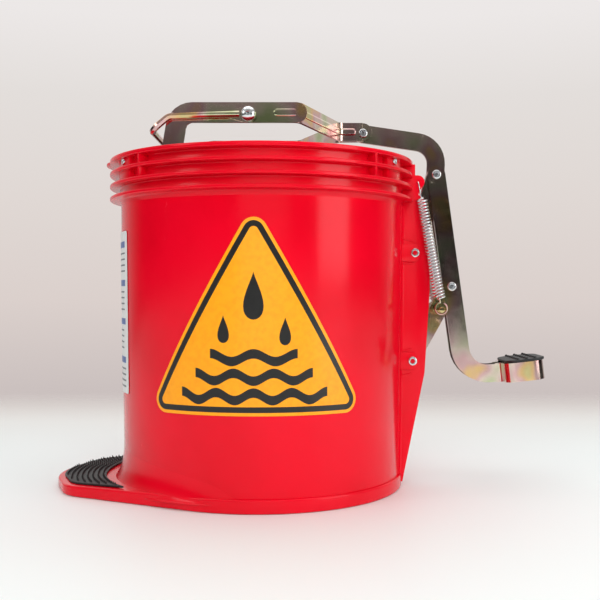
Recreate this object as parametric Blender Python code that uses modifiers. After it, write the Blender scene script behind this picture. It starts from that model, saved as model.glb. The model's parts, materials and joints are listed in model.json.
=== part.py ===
"""Round wringer bucket: a moulded bucket with a foot plate, a pedal linkage at
the back, and a pull frame that squeezes a mop between four rollers.

Frame: origin on the bucket's axis at floor level, +Z up, +X towards the pedal,
-Y towards the side with the large floor sign. Sizes are in metres.
"""

from math import acos, asin, atan2, cos, hypot, pi, radians, sin, sqrt, tan

import bmesh
import bpy
from mathutils import Matrix, Vector

# Bucket shell
HEIGHT = 0.3322
BODY_TOP_R = 0.1452
BODY_DRAFT = 0.003
BODY_FOOT_R = BODY_TOP_R - BODY_DRAFT
WALL = 0.003
FLOOR_T = 0.004
FLOOR_FILLET = 0.004
NECK_FILLET = 0.0012
COLLAR_R = BODY_TOP_R + 0.0008
RING_REACH = 0.0105
RING_R = COLLAR_R + RING_REACH
RING_T = 0.0034
RING_PITCH = 0.0124
RING_COUNT = 4
RIM_T = 0.0042
FLANGE_PROUD = 0.0027
FLANGE_H = 0.0132
LIP_REACH = 0.0055
SHELL_SEGMENTS = 48

# Foot plate
FOOT_SIDE_AZIMUTH = radians(118.3)
FOOT_CORNER_X = -BODY_FOOT_R - 0.0488
FOOT_CORNER_HALF = BODY_FOOT_R * 0.478
FOOT_CORNER_R = 0.04
FOOT_TIP_X = FOOT_CORNER_X - 0.0217
FOOT_TIP_R = 0.08
FOOT_WALL = 0.0032
FOOT_FALL = radians(1.95)
FOOT_FALL_X = -0.1
FOOT_FILLET = 0.0165
FOOT_FILLET_H = 0.032
GRIP_INSET = 0.0065
GRIP_T = 0.0036
GRIP_BODY_GAP = 0.0018

# Rear column
CHANNEL_HALF = 0.0168
COLUMN_WALL = 0.0032
COLUMN_ROOT = 0.0013
COLUMN_LIP = 0.0126
TAB_PROUD = 0.0025
TAB_HALF = 0.009
TAB_TIP_R = 0.0062
TAB_REACH = 0.0155
RIB_MID = 0.0095
RIB_SIZE = (0.018, 0.0036, 0.0016)
# Height over the pivot and slope of each tab's two ribs
TAB_RIBS = {"upper": ((0.0141, radians(14)), (-0.0104, radians(3))),
            "lower": ((0.0103, radians(-14)), (-0.0152, radians(-17)))}
EAR_REACH = 0.0223
EAR_DROP = 0.0201
EAR_R = 0.0068
EAR_HOLE_R = 0.0022

# Frame screws, in pads under the rim
SCREW_AZIMUTH = radians(30)
SCREW_DROP = 0.0068
SCREW_R = 0.002
SCREW_HEAD_R = 0.0039
SCREW_HEAD_T = 0.0018
SPOT_FACE = 0.0002
NUT_R = 0.0042
NUT_T = 0.003
PAD_PROUD = 0.0045
PAD_HALF = 0.0148
RIB_AZIMUTH = radians(44.6)

# Linkage: pivots in the X-Z plane, placed from the shell
STRIP_HALF = 0.0092
RIVET_R = 0.0027
RIVET_HEAD_R = 0.0047
RIVET_HEAD_T = 0.0016
RIVET_HOLE_R = 0.0021
LINK_HALF_T = 0.002
CRANK_T = 0.003
ARM_T = 0.0035
PLATE_GAP = 0.0004
RUN_GAP = 0.0003
OPEN_PIVOT_GAP = 0.0021
PIVOT_A = (BODY_TOP_R + 0.0121, HEIGHT - 0.0930)
PIVOT_B = (BODY_FOOT_R + 0.0127, 0.1283)
PIVOT_C = (PIVOT_A[0] + 0.0239, HEIGHT - 0.0111)
PIVOT_D = (PIVOT_B[0] + 0.0424, PIVOT_B[1] + 0.0765)
PIVOT_E = (PIVOT_C[0] - 0.0761, HEIGHT + 0.0322)
SPRING_PIN_SHARE = 0.687
LINK_KNEE_R = 0.0225

# Pedal
PEDAL_KNEE = (PIVOT_D[0] + 0.0129, PIVOT_D[1] - 0.0936)
PEDAL_KNEE_R = 0.029
PEDAL_SLOPE = radians(6.5)
ARM_END = 0.0400
HOOP_START = 0.0425
HOOP_END = 0.0795
HOOP_HALF_Y = 0.0265
HOOP_H = 0.0195
HOOP_CORNER_R = 0.011
HOOP_ROOT_R = 0.009
PEDAL_GRIP_T = 0.0046
PEDAL_PLUG_T = 0.005
PEDAL_GRIP_OVERHANG = 0.0015

# Pull frame
FRAME_T = 0.003
FRAME_HALF = 0.00945
LEG_X = -0.0795
LEG_WALL_GAP = 0.002
FRAME_LEAN = 0.006
FRAME_KNEE_R = 0.0155
BEND_X = 0.0387
TIP_X = 0.0800
BEND_R = 0.009

# Rollers and their side rails
ROLLER_R = 0.0165
ROLLER_PITCH = 0.035
ROLLER_TOP_DROP = 0.0292
FIXED_ROLLER_X = 0.008
AXLE_R = 0.004
AXLE_GAP = 0.00035
RAIL_T = 0.003
RAIL_LEG_GAP = 0.0065
RAIL_DEPTH = 0.075
RAIL_TOP_DROP = 0.0012
RAIL_END_DEPTH = 0.026
ROLLER_END_GAP = 0.004
HUB_R = 0.009
TRAVEL = 0.0466
AXLE_CAP_R = 0.0065
AXLE_CAP_T = 0.003

# Bail
BAIL_R = 0.00325
BAIL_PIVOT_X = -0.0083
BAIL_DROP = 0.0005
BAIL_KNEE = (-0.0735, -0.0022)
BAIL_BAR = (-0.0891, -0.0152)
BAIL_KNEE_R = 0.009
BAIL_CORNER_R = 0.0084
EYE_R = 0.0078
EYE_T = 0.0032
EYE_NECK = 0.019
DOME_R = 0.007
DOME_H = 0.0046

# Springs
SPRING_Y = 0.0265
SPRING_R = 0.0062
WIRE_R = 0.0009
COIL_FROM = 0.0165
COIL_TO = 0.0135
HOOK_LOOP_R = 0.0059
HOOK_ROD_R = 0.0012
SPRING_PIN_R = 0.003
PIN_IN_LOOP = 0.0014

# Labels
LABEL_T = 0.0004
SIGN_LOW = 0.0862
SIGN_HIGH = 0.263
SIGN_HALF_W = 0.0945
SIGN_X = -0.0018
SIGN_CORNER_R = 0.011
INFO_LOW = 0.099
INFO_HIGH = 0.259
INFO_HALF_ANGLE = radians(27)

RED = (0.72, 0.002, 0.018, 1)
BLACK_RUBBER = (0.012, 0.012, 0.013, 1)
YELLOW_ZINC = (0.42, 0.34, 0.16, 1)
BRIGHT_ZINC = (0.66, 0.68, 0.70, 1)
ROLLER_GREY = (0.22, 0.23, 0.25, 1)
SIGN_AMBER = (1.0, 0.42, 0.0, 1)
LABEL_WHITE = (0.86, 0.86, 0.86, 1)

for old in list(bpy.data.objects):
    bpy.data.objects.remove(old, do_unlink=True)
parts = bpy.data.collections.new("WringerBucket")
cutters = bpy.data.collections.new("Cutters")
for holder in (parts, cutters):
    bpy.context.scene.collection.children.link(holder)
cutters.hide_render = True


# Materials

def painted(name, color, roughness, metallic=0.0):
    material = bpy.data.materials.new(name)
    material.use_nodes = True
    shader = material.node_tree.nodes["Principled BSDF"]
    shader.inputs["Base Color"].default_value = color
    shader.inputs["Roughness"].default_value = roughness
    shader.inputs["Metallic"].default_value = metallic
    return material


red_plastic = painted("RedPlastic", RED, 0.28)
black_rubber = painted("BlackRubber", BLACK_RUBBER, 0.7)
yellow_zinc = painted("YellowZinc", YELLOW_ZINC, 0.3, 1.0)
bright_zinc = painted("BrightZinc", BRIGHT_ZINC, 0.25, 1.0)
grey_plastic = painted("RollerGrey", ROLLER_GREY, 0.45)
sign_film = painted("SignFilm", SIGN_AMBER, 0.35)
white_film = painted("WhiteFilm", LABEL_WHITE, 0.4)


# Outlines, as lists of 2D points

def corner(before, at, after, radius, steps=5):
    """Points of an arc that rounds one corner of a path."""
    before, at, after = Vector(before), Vector(at), Vector(after)
    back, on = (before - at).normalized(), (after - at).normalized()
    half = acos(max(-1.0, min(1.0, back.dot(on)))) / 2
    reach = radius / max(1e-6, abs(sin(half) / cos(half))) if half < pi / 2 - 1e-4 else 0.0
    if reach == 0.0:
        return [at]
    centre = at + (back + on).normalized() * (radius / sin(half))
    first, last = at + back * reach - centre, at + on * reach - centre
    return [centre + first.slerp(last, i / steps).normalized() * radius for i in range(steps + 1)]


def rounded(points, radii, steps=5, closed=False):
    """A path with its corners rounded; radii names one radius for each point, 0 for a sharp one."""
    path = []
    count = len(points)
    for i, (point, radius) in enumerate(zip(points, radii)):
        if radius and (closed or 0 < i < count - 1):
            path += corner(points[i - 1], point, points[(i + 1) % count], radius, steps)
        else:
            path.append(Vector(point))
    return path


def strip(path, half, round_ends=True, steps=8):
    """The outline of a flat strip along a path, with round or square ends."""
    left, right = [], []
    last = len(path) - 1
    for i, point in enumerate(path):
        into = (path[i] - path[i - 1]).normalized() if i else (path[1] - path[0]).normalized()
        out = (path[i + 1] - path[i]).normalized() if i < last else into
        along = (into + out).normalized()
        side = Vector((-along.y, along.x)) * (half / max(0.3, along.dot(into)))
        left.append(point + side)
        right.append(point - side)
    if not round_ends:
        return left + right[::-1]

    def cap(centre, start):
        angle = atan2(start.y - centre.y, start.x - centre.x)
        return [centre + Vector((cos(angle - pi * i / steps), sin(angle - pi * i / steps))) * half
                for i in range(1, steps)]

    return left + cap(path[last], left[last]) + right[::-1] + cap(path[0], right[0])


def circle(centre, radius, segments=16, start=0.0):
    return [Vector((centre[0] + radius * cos(start + 2 * pi * i / segments),
                    centre[1] + radius * sin(start + 2 * pi * i / segments))) for i in range(segments)]


def slot(centre, length, radius, steps=6):
    """A round-ended slot that runs along the first axis from its centre."""
    right = [Vector((centre[0] + length + radius * sin(pi * i / steps),
                     centre[1] + radius * cos(pi * i / steps))) for i in range(steps + 1)]
    left = [Vector((centre[0] - radius * sin(pi * i / steps),
                    centre[1] - radius * cos(pi * i / steps))) for i in range(steps + 1)]
    return right + left


# Solids

def place(name, mesh, material, home=parts):
    obj = bpy.data.objects.new(name, mesh)
    home.objects.link(obj)
    if home is cutters:
        obj.hide_render = True
        obj.display_type = "WIRE"
    else:
        mesh.materials.clear()
        mesh.materials.append(material)
        mesh.shade_smooth()
        mesh.set_sharp_from_angle(angle=radians(32))
    return obj


def as_mesh(name, obj, turn):
    """The object's evaluated shape as a mesh with its caps welded, turned into place."""
    bpy.context.view_layer.update()
    graph = bpy.context.evaluated_depsgraph_get()
    mesh = bpy.data.meshes.new_from_object(obj.evaluated_get(graph))
    matrix = turn @ obj.matrix_world
    mesh.name = name
    bpy.data.objects.remove(obj, do_unlink=True)
    work = bmesh.new()
    work.from_mesh(mesh)
    bmesh.ops.transform(work, matrix=matrix, verts=work.verts)
    bmesh.ops.remove_doubles(work, verts=work.verts, dist=1e-6)
    bmesh.ops.recalc_face_normals(work, faces=work.faces)
    work.to_mesh(mesh)
    work.free()
    return mesh


STAND_UP = Matrix.Rotation(pi / 2, 4, "X")
# A curve's fill joins points under 0.03 apart, so outlines are filled at a larger scale.
FILL_SCALE = 1000


def plate(name, outlines, low, high, material=None, home=parts, upright=True, turn=None):
    """A flat outline, with any holes, given its thickness from low to high.

    An upright plate lies in the X-Z plane and its thickness runs along Y; any
    other lies in the X-Y plane and its thickness runs along Z.
    """
    data = bpy.data.curves.new(name + "_outline", "CURVE")
    data.dimensions = "2D"
    data.fill_mode = "BOTH"
    data.extrude = FILL_SCALE * (high - low) / 2
    for outline in outlines:
        spline = data.splines.new("POLY")
        spline.points.add(len(outline) - 1)
        spline.use_cyclic_u = True
        for point, spot in zip(spline.points, outline):
            point.co = (FILL_SCALE * spot[0], FILL_SCALE * spot[1], 0, 1)
    obj = bpy.data.objects.new(name + "_outline", data)
    bpy.context.scene.collection.objects.link(obj)
    middle = (low + high) / 2
    lift = Matrix.Translation((0, middle, 0)) @ STAND_UP if upright else Matrix.Translation((0, 0, middle))
    place_at = (turn or Matrix()) @ lift @ Matrix.Scale(1 / FILL_SCALE, 4)
    return place(name, as_mesh(name, obj, place_at), material, home)


def turned(name, profile, segments=20, material=None, home=parts, turn=None):
    """A profile of (radius, height) points, run down its outer side, turned about Z."""
    mesh = bpy.data.meshes.new(name + "_profile")
    count = len(profile)
    ring = profile[0][0] > 0 and profile[-1][0] > 0
    edges = [(i, (i + 1) % count) for i in range(count if ring else count - 1)]
    mesh.from_pydata([(r, 0, z) for r, z in profile], edges, [])
    obj = bpy.data.objects.new(name + "_profile", mesh)
    bpy.context.scene.collection.objects.link(obj)
    screw = obj.modifiers.new("Turn", "SCREW")
    screw.steps = screw.render_steps = segments
    screw.use_merge_vertices = True
    screw.merge_threshold = 1e-6
    return place(name, as_mesh(name, obj, turn or Matrix()), material, home)


def wire(name, path, radius, material=None, home=parts):
    """A round wire along a list of 3D points."""
    data = bpy.data.curves.new(name + "_path", "CURVE")
    data.dimensions = "3D"
    data.bevel_depth = radius
    data.bevel_resolution = 2
    data.use_fill_caps = True
    spline = data.splines.new("POLY")
    spline.points.add(len(path) - 1)
    for point, spot in zip(spline.points, path):
        point.co = (*spot, 1)
    obj = bpy.data.objects.new(name + "_path", data)
    bpy.context.scene.collection.objects.link(obj)
    return place(name, as_mesh(name, obj, Matrix()), material, home)


def cylinder(name, radius, start, end, segments=16, home=cutters, material=None):
    start, end = Vector(start), Vector(end)
    work = bmesh.new()
    bmesh.ops.create_cone(work, cap_ends=True, segments=segments, radius1=radius, radius2=radius,
                          depth=(end - start).length)
    aim = (end - start).to_track_quat("Z", "Y").to_matrix().to_4x4()
    bmesh.ops.transform(work, matrix=Matrix.Translation((start + end) / 2) @ aim, verts=work.verts)
    mesh = bpy.data.meshes.new(name)
    work.to_mesh(mesh)
    work.free()
    return place(name, mesh, material, home)


def block(name, size, turn, home=cutters):
    work = bmesh.new()
    bmesh.ops.create_cube(work, size=1)
    bmesh.ops.transform(work, matrix=turn @ Matrix.Diagonal((*size, 1)), verts=work.verts)
    mesh = bpy.data.meshes.new(name)
    work.to_mesh(mesh)
    work.free()
    return place(name, mesh, None, home)


def combine(target, others, operation, solver="EXACT"):
    for other in others:
        change = target.modifiers.new(other.name, "BOOLEAN")
        change.operation = operation
        change.solver = solver
        change.object = other


def along_y(x, z, flip=False):
    """Turns a part made about Z so that its axis runs along Y, its top towards -Y, or +Y if flipped."""
    return Matrix.Translation((x, 0, z)) @ Matrix.Rotation(-pi / 2 if flip else pi / 2, 4, "X")


SIDES = (("near", -1), ("far", 1))


def between(side, low, high):
    """A span of distances from the middle plane, as lowest and highest Y on the given side."""
    return (low, high) if side > 0 else (-high, -low)


# Bucket shell

inner_top_r = COLLAR_R - WALL - 0.0004
ring_tops = [HEIGHT - RIM_T / 2 - RING_PITCH * i + RING_T / 2 for i in range(1, RING_COUNT)]
body_top_z = ring_tops[-1] - RING_T - 0.0055


def body_radius(z):
    """The outside of the plain body at a height."""
    return BODY_FOOT_R + (BODY_TOP_R - BODY_FOOT_R) * z / body_top_z


def shell_profile():
    rim_low = HEIGHT - RIM_T
    profile = [(inner_top_r, HEIGHT), (RING_R, HEIGHT), (RING_R, rim_low), (COLLAR_R, rim_low)]
    for top in ring_tops:
        profile += [(COLLAR_R, top), (RING_R, top), (RING_R, top - RING_T)]
        if top is not ring_tops[-1]:
            profile.append((COLLAR_R, top - RING_T))
    profile += [(COLLAR_R + NECK_FILLET, ring_tops[-1] - RING_T - NECK_FILLET),
                (BODY_TOP_R, body_top_z), (BODY_FOOT_R, 0), (0, 0), (0, FLOOR_T),
                (BODY_FOOT_R - WALL - FLOOR_FILLET, FLOOR_T),
                (BODY_FOOT_R - WALL, FLOOR_T + FLOOR_FILLET), (BODY_TOP_R - WALL, body_top_z)]
    return profile


def closed_shell():
    """The shell's profile is open where it meets the axis, so its last point returns to the rim."""
    profile = shell_profile()
    axis = profile.index((0, 0))
    return profile[axis + 1:] + profile[:axis + 1]


flange_r = BODY_FOOT_R + FLANGE_PROUD


def foot_outline(inset=0.0):
    """The base flange with its foot plate: a circle, two nearly tangent sides and a broad tip."""
    radius = flange_r - inset
    arc = SHELL_SEGMENTS * 3 // 4
    turn = 2 * FOOT_SIDE_AZIMUTH / arc
    angles = [FOOT_SIDE_AZIMUTH - turn * i for i in range(arc + 1)]
    points = [Vector((radius * cos(angle), radius * sin(angle))) for angle in angles]
    half_tip = atan2(FOOT_CORNER_HALF, FOOT_CORNER_X - FOOT_TIP_X + 0.003)
    tip_x = FOOT_TIP_X - FOOT_TIP_R * (1 / sin(half_tip) - 1)
    corner_x = FOOT_CORNER_X + inset
    corner_y = FOOT_CORNER_HALF - inset * 0.7
    tip = [points[-1], (corner_x, -corner_y), (tip_x + inset, 0), (corner_x, corner_y), points[0]]
    corner_r = FOOT_CORNER_R - inset
    return points[:-1] + rounded(tip, [0, corner_r, FOOT_TIP_R - inset, corner_r, 0], 6)[:-1]


bucket = turned("bucket_body", closed_shell(), SHELL_SEGMENTS, red_plastic)

hole_in_base = circle((0, 0), BODY_FOOT_R - WALL / 2, SHELL_SEGMENTS)
base = plate("base_flange", [foot_outline(), hole_in_base], 0, FLANGE_H, home=cutters, upright=False)
# The foot plate's top falls away towards its tip.
foot_top = Matrix.Translation((FOOT_FALL_X, 0, FLANGE_H)) @ Matrix.Rotation(-FOOT_FALL, 4, "Y")
fall = block("foot_fall", (0.3, 0.4, 0.02), foot_top @ Matrix.Translation((-0.15, 0, 0.01)))
combine(base, [fall], "DIFFERENCE", solver="MANIFOLD")


def fillet_profile(steps=6):
    """A hollow curve from the body down to the foot plate, about an axis moved towards the plate."""
    curve = [(body_radius(FLANGE_H) - FOOT_FILLET * sin(pi / 2 * i / steps),
              FLANGE_H + FOOT_FILLET_H * (1 - cos(pi / 2 * i / steps))) for i in range(steps, -1, -1)]
    return [(0, curve[0][1])] + curve + [(curve[-1][0], FLANGE_H / 2), (0, FLANGE_H / 2)]


fillet = turned("foot_fillet", fillet_profile(), SHELL_SEGMENTS, home=cutters,
                turn=Matrix.Translation((-FOOT_FILLET, 0, 0)))
inner_wall = cylinder("fillet_core", BODY_FOOT_R - WALL / 2, (0, 0, -0.01), (0, 0, 0.08), SHELL_SEGMENTS)
combine(fillet, [inner_wall], "DIFFERENCE", solver="MANIFOLD")


def foot_pocket():
    """The hollow under the foot plate, outside the bucket's own wall."""
    radius = BODY_FOOT_R + FOOT_WALL - WALL / 2
    reach = radius + 0.004
    edge = [point for point in foot_outline(FOOT_WALL) if point.x < 0 and point.length > reach]
    edge.sort(key=lambda point: atan2(point.y, -point.x))
    low, high = (atan2(point.y, -point.x) for point in (edge[0], edge[-1]))
    angles = [high + (low - high) * i / 12 for i in range(13)]
    arc = [Vector((-radius * cos(angle), radius * sin(angle))) for angle in angles]
    return edge + arc


pocket_top = FLANGE_H - FOOT_WALL + (FOOT_TIP_X - FOOT_FALL_X) * tan(FOOT_FALL)
pocket = plate("foot_pocket", [foot_pocket()], -0.001, pocket_top, home=cutters, upright=False)

ear_x, ear_z = BODY_TOP_R + EAR_REACH - EAR_R, HEIGHT - EAR_DROP
ear_wire = (BODY_TOP_R + 0.0146, HEIGHT - 0.0206)
hole_lift = EAR_HOLE_R - WIRE_R - RUN_GAP
ear_hole = (ear_wire[0] - 0.2 * hole_lift, ear_wire[1] + hole_lift)


def column_outline():
    """One side wall of the rear column, seen from the side, with its spring ear at the top."""
    foot_root = BODY_FOOT_R - COLUMN_ROOT - 0.0015
    top_root = BODY_TOP_R - COLUMN_ROOT - 0.0015
    low_knee = (PIVOT_B[0] + 0.0128, PIVOT_B[1] - 0.0123)
    bulge = (PIVOT_A[0] + 0.0160, PIVOT_A[1] - 0.0332)
    shoulder = (BODY_TOP_R + 0.0231, ring_tops[-1] - 0.0035)
    under_ear = (ear_x + 0.0005, ear_z - EAR_R - 0.006)
    outer = rounded([(flange_r, FLOOR_T), low_knee, bulge, shoulder, under_ear], [0, 0.03, 0.12, 0.006, 0], 6)
    ear = [Vector((ear_x + EAR_R * cos(a), ear_z + EAR_R * sin(a)))
           for a in (radians(-50 + 140 * i / 8) for i in range(9))]
    lip_x = BODY_TOP_R + COLUMN_LIP
    top = [Vector((lip_x, ear_z + EAR_R)), Vector((lip_x, HEIGHT - RIM_T / 2))]
    return outer + ear + top + [Vector((top_root, HEIGHT - RIM_T / 2)), Vector((foot_root, FLOOR_T))]


def tab_outline(pivot):
    """A raised pad round a pivot rivet, square towards the body and round at its tip."""
    tip = [Vector((pivot[0] + TAB_TIP_R * sin(pi * i / 8), pivot[1] + TAB_HALF * cos(pi * i / 8)))
           for i in range(9)]
    back = pivot[0] - TAB_REACH
    return tip + [Vector((back, pivot[1] - TAB_HALF)), Vector((back, pivot[1] + TAB_HALF))]


column_face = CHANNEL_HALF + COLUMN_WALL
tab_face = column_face + TAB_PROUD
joined = [base, fillet]
for side_name, side in SIDES:
    holes = [circle(pivot, RIVET_R + RUN_GAP) for pivot in (PIVOT_A, PIVOT_B)]
    holes.append(circle(ear_hole, EAR_HOLE_R, 14))
    joined.append(plate("column_wall_" + side_name, [column_outline()] + holes,
                        *between(side, CHANNEL_HALF, column_face), home=cutters))
    for level, pivot in (("upper", PIVOT_A), ("lower", PIVOT_B)):
        joined.append(plate(f"tab_{level}_{side_name}", [tab_outline(pivot), circle(pivot, RIVET_R + RUN_GAP)],
                            *between(side, column_face - 0.0006, tab_face), home=cutters))
        for rise, slope in TAB_RIBS[level]:
            rib_turn = (Matrix.Translation((pivot[0] - RIB_MID, side * column_face, pivot[1] + rise))
                        @ Matrix.Rotation(slope, 4, "Y"))
            joined.append(block(f"rib_{level}_{side_name}_{len(joined)}", RIB_SIZE, rib_turn))
    for end_name, end in (("front", -1), ("rear", 1)):
        around = atan2(side * sin(SCREW_AZIMUTH), end * cos(SCREW_AZIMUTH))
        pad_low = ring_tops[1] - RING_T / 2
        pad_mid = (COLLAR_R - WALL * 0.6 + COLLAR_R + PAD_PROUD) / 2
        pad_turn = (Matrix.Rotation(around, 4, "Z")
                    @ Matrix.Translation((pad_mid, 0, (pad_low + HEIGHT - RIM_T / 2) / 2)))
        joined.append(block(f"pad_{end_name}_{side_name}",
                            (PAD_PROUD + WALL * 0.6, 2 * PAD_HALF, HEIGHT - RIM_T / 2 - pad_low), pad_turn))
        rib_around = atan2(side * sin(RIB_AZIMUTH), end * cos(RIB_AZIMUTH))
        rib_mid = (COLLAR_R - WALL / 2 + RING_R - 0.001) / 2
        joined.append(block(f"rib_{end_name}_{side_name}",
                            (RING_R - 0.001 - COLLAR_R + WALL / 2, 0.0024, HEIGHT - RIM_T / 2 - pad_low),
                            Matrix.Rotation(rib_around, 4, "Z")
                            @ Matrix.Translation((rib_mid, 0, (pad_low + HEIGHT - RIM_T / 2) / 2))))

lip_half = [(RING_R - 0.006, 0.034), (RING_R + LIP_REACH * 0.7, 0.015)]
lip_outline = [Vector((-x, -y)) for x, y in lip_half] + [Vector((-RING_R - LIP_REACH, 0))]
lip_outline += [Vector((-x, y)) for x, y in reversed(lip_half)]
lip = plate("pour_lip", [lip_outline], HEIGHT - RIM_T + 0.0006, HEIGHT - 0.0006, home=cutters, upright=False)
joined.append(lip)
# The column's pieces share faces with each other, which the exact solver leaves open.
combine(bucket, joined, "UNION", solver="MANIFOLD")

pad_face = COLLAR_R + PAD_PROUD
seat_face = pad_face - SPOT_FACE
screw_z = HEIGHT - SCREW_DROP
cuts = [pocket]
for side_name, side in SIDES:
    for end_name, end in (("front", -1), ("rear", 1)):
        aim = Vector((end * cos(SCREW_AZIMUTH), side * sin(SCREW_AZIMUTH), 0))
        low, high = aim * (inner_top_r - 0.02), aim * (pad_face + 0.01)
        lift = Vector((0, 0, screw_z))
        cuts.append(cylinder(f"screw_hole_{end_name}_{side_name}", SCREW_R + RUN_GAP, low + lift, high + lift))
        cuts.append(cylinder(f"spot_face_{end_name}_{side_name}", SCREW_HEAD_R + RUN_GAP,
                             aim * seat_face + lift, aim * (seat_face + RUN_GAP + SCREW_HEAD_T + 0.0005) + lift))
combine(bucket, cuts, "DIFFERENCE", solver="MANIFOLD")


# Foot grip and labels

def grip_outline():
    """The rubber pad: it follows the foot plate's tip and curves round the fillet."""
    centre = Vector((-FOOT_FILLET, 0))
    radius = body_radius(FLANGE_H) + GRIP_BODY_GAP
    edge = [point for point in foot_outline(GRIP_INSET) if point.x < 0 and (point - centre).length > radius]
    edge.sort(key=lambda point: atan2(point.y, -point.x))
    side_x, side_y = ((flange_r - GRIP_INSET) * trig(FOOT_SIDE_AZIMUTH) for trig in (cos, sin))
    for side, at in ((-1, 0), (1, -1)):
        # The pad's corner, where the foot plate's side meets the arc.
        outside, inside = edge[at], Vector((side_x, side * side_y))
        for _ in range(30):
            middle = (outside + inside) / 2
            outside, inside = (middle, inside) if (middle - centre).length > radius else (outside, middle)
        edge.insert(0 if side < 0 else len(edge), outside)
    low, high = (atan2(point.y, centre.x - point.x) for point in (edge[0], edge[-1]))
    angles = [high + (low - high) * i / 14 for i in range(1, 14)]
    arc = [centre + Vector((-radius * cos(angle), radius * sin(angle))) for angle in angles]
    return [point - Vector((FOOT_FALL_X, 0)) for point in edge + arc]


plate("foot_grip", [grip_outline()], RUN_GAP, RUN_GAP + GRIP_T, black_rubber,
      upright=False, turn=foot_top)


def film(name, low, high, material):
    """A thin ring that stands just off the body; its outline is cut from it."""
    gap = 2 * RUN_GAP
    profile = [(body_radius(high) + gap + LABEL_T, high), (body_radius(low) + gap + LABEL_T, low),
               (body_radius(low) + gap, low), (body_radius(high) + gap, high)]
    return turned(name, profile, SHELL_SEGMENTS, material)


sign = film("floor_sign", SIGN_LOW - 0.01, SIGN_HIGH + 0.01, sign_film)
sign_corners = [(SIGN_X - SIGN_HALF_W, SIGN_LOW), (SIGN_X + SIGN_HALF_W, SIGN_LOW),
                (SIGN_X, SIGN_HIGH + 0.012)]
sign_cut = plate("sign_outline", [rounded(sign_corners, [SIGN_CORNER_R] * 3, 6, closed=True)],
                 -2 * BODY_TOP_R, -BODY_TOP_R / 4, home=cutters)
combine(sign, [sign_cut], "INTERSECT")

info = film("info_label", INFO_LOW, INFO_HIGH, white_film)
info_reach = 2 * BODY_TOP_R
info_spread = info_reach * tan(INFO_HALF_ANGLE)
info_wedge = [Vector((0, 0)), Vector((-info_reach, info_spread)), Vector((-info_reach, -info_spread))]
info_cut = plate("info_outline", [info_wedge], 0, HEIGHT, home=cutters, upright=False)
combine(info, [info_cut], "INTERSECT")


# Roller frame: side rails, screws, axles, rollers

leg_reach = abs(LEG_X) + FRAME_HALF
frame_outer = sqrt(inner_top_r ** 2 - leg_reach ** 2) - LEG_WALL_GAP
frame_inner = frame_outer - FRAME_T
rail_outer = frame_inner - RAIL_LEG_GAP
rail_inner = rail_outer - RAIL_T
rail_mid = (rail_outer + rail_inner) / 2
rail_top = HEIGHT - RAIL_TOP_DROP
roller_zs = {"upper": HEIGHT - ROLLER_TOP_DROP, "lower": HEIGHT - ROLLER_TOP_DROP - ROLLER_PITCH}
# The bore's facets stand inside its radius at their middles.
end_r = inner_top_r * cos(pi / SHELL_SEGMENTS) - RUN_GAP - RAIL_T / 2
end_angle = asin(rail_mid / end_r)

for side_name, side in SIDES:
    half = end_r * cos(end_angle)
    rail_low = rail_top - RAIL_DEPTH
    sheet = [(-half, rail_low), (half, rail_low), (half, rail_top), (-half, rail_top)]
    holes = []
    for roller_z in roller_zs.values():
        holes.append(circle((FIXED_ROLLER_X, roller_z), AXLE_R + RUN_GAP))
        holes.append(slot((LEG_X, roller_z), TRAVEL + 0.001, AXLE_R + 0.0006))
    rail = plate("side_rail_" + side_name, [rounded(sheet, [0.012, 0.012, 0, 0], 4, closed=True)] + holes,
                 *between(side, rail_inner, rail_outer), yellow_zinc)
    ends = []
    bores = []
    for end_name, end in (("front", -1), ("rear", 1)):
        stop = SCREW_AZIMUTH - 0.0085 / end_r
        path = [Vector((end * (half - 0.005), side * rail_mid)), Vector((end * half, side * rail_mid))]
        path += [Vector((end * end_r * cos(end_angle + (stop - end_angle) * i / 6),
                         side * end_r * sin(end_angle + (stop - end_angle) * i / 6))) for i in range(1, 7)]
        ends.append(plate(f"rail_end_{end_name}_{side_name}", [strip(path, RAIL_T / 2, round_ends=False)],
                          rail_top - RAIL_END_DEPTH, rail_top - 0.0004, home=cutters, upright=False))
        aim = Vector((end * cos(SCREW_AZIMUTH), side * sin(SCREW_AZIMUTH), 0))
        lift = Vector((0, 0, screw_z))
        bores.append(cylinder(f"rail_bore_{end_name}_{side_name}", SCREW_R + RUN_GAP,
                              aim * (end_r - 0.01) + lift, aim * (end_r + 0.01) + lift))
        face = Matrix.Translation(lift) @ aim.to_track_quat("Z", "Y").to_matrix().to_4x4()
        seat = seat_face + RUN_GAP
        tail = end_r - RAIL_T / 2 - RUN_GAP
        turned(f"frame_screw_{end_name}_{side_name}",
               [(0, seat + SCREW_HEAD_T - 0.0008), (0.0012, seat + SCREW_HEAD_T - 0.0008),
                (0.0016, seat + SCREW_HEAD_T), (SCREW_HEAD_R - 0.0008, seat + SCREW_HEAD_T),
                (SCREW_HEAD_R, seat + 0.0006), (SCREW_HEAD_R, seat), (SCREW_R, seat),
                (SCREW_R, tail - NUT_T - 0.0015), (0, tail - NUT_T - 0.0015)],
               14, bright_zinc, turn=face)
        nut_hole = SCREW_R + RUN_GAP
        turned(f"frame_nut_{end_name}_{side_name}",
               [(NUT_R, tail), (NUT_R, tail - NUT_T), (nut_hole, tail - NUT_T), (nut_hole, tail)],
               6, bright_zinc, turn=face)
    combine(rail, ends, "UNION")
    combine(rail, bores, "DIFFERENCE")

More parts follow.
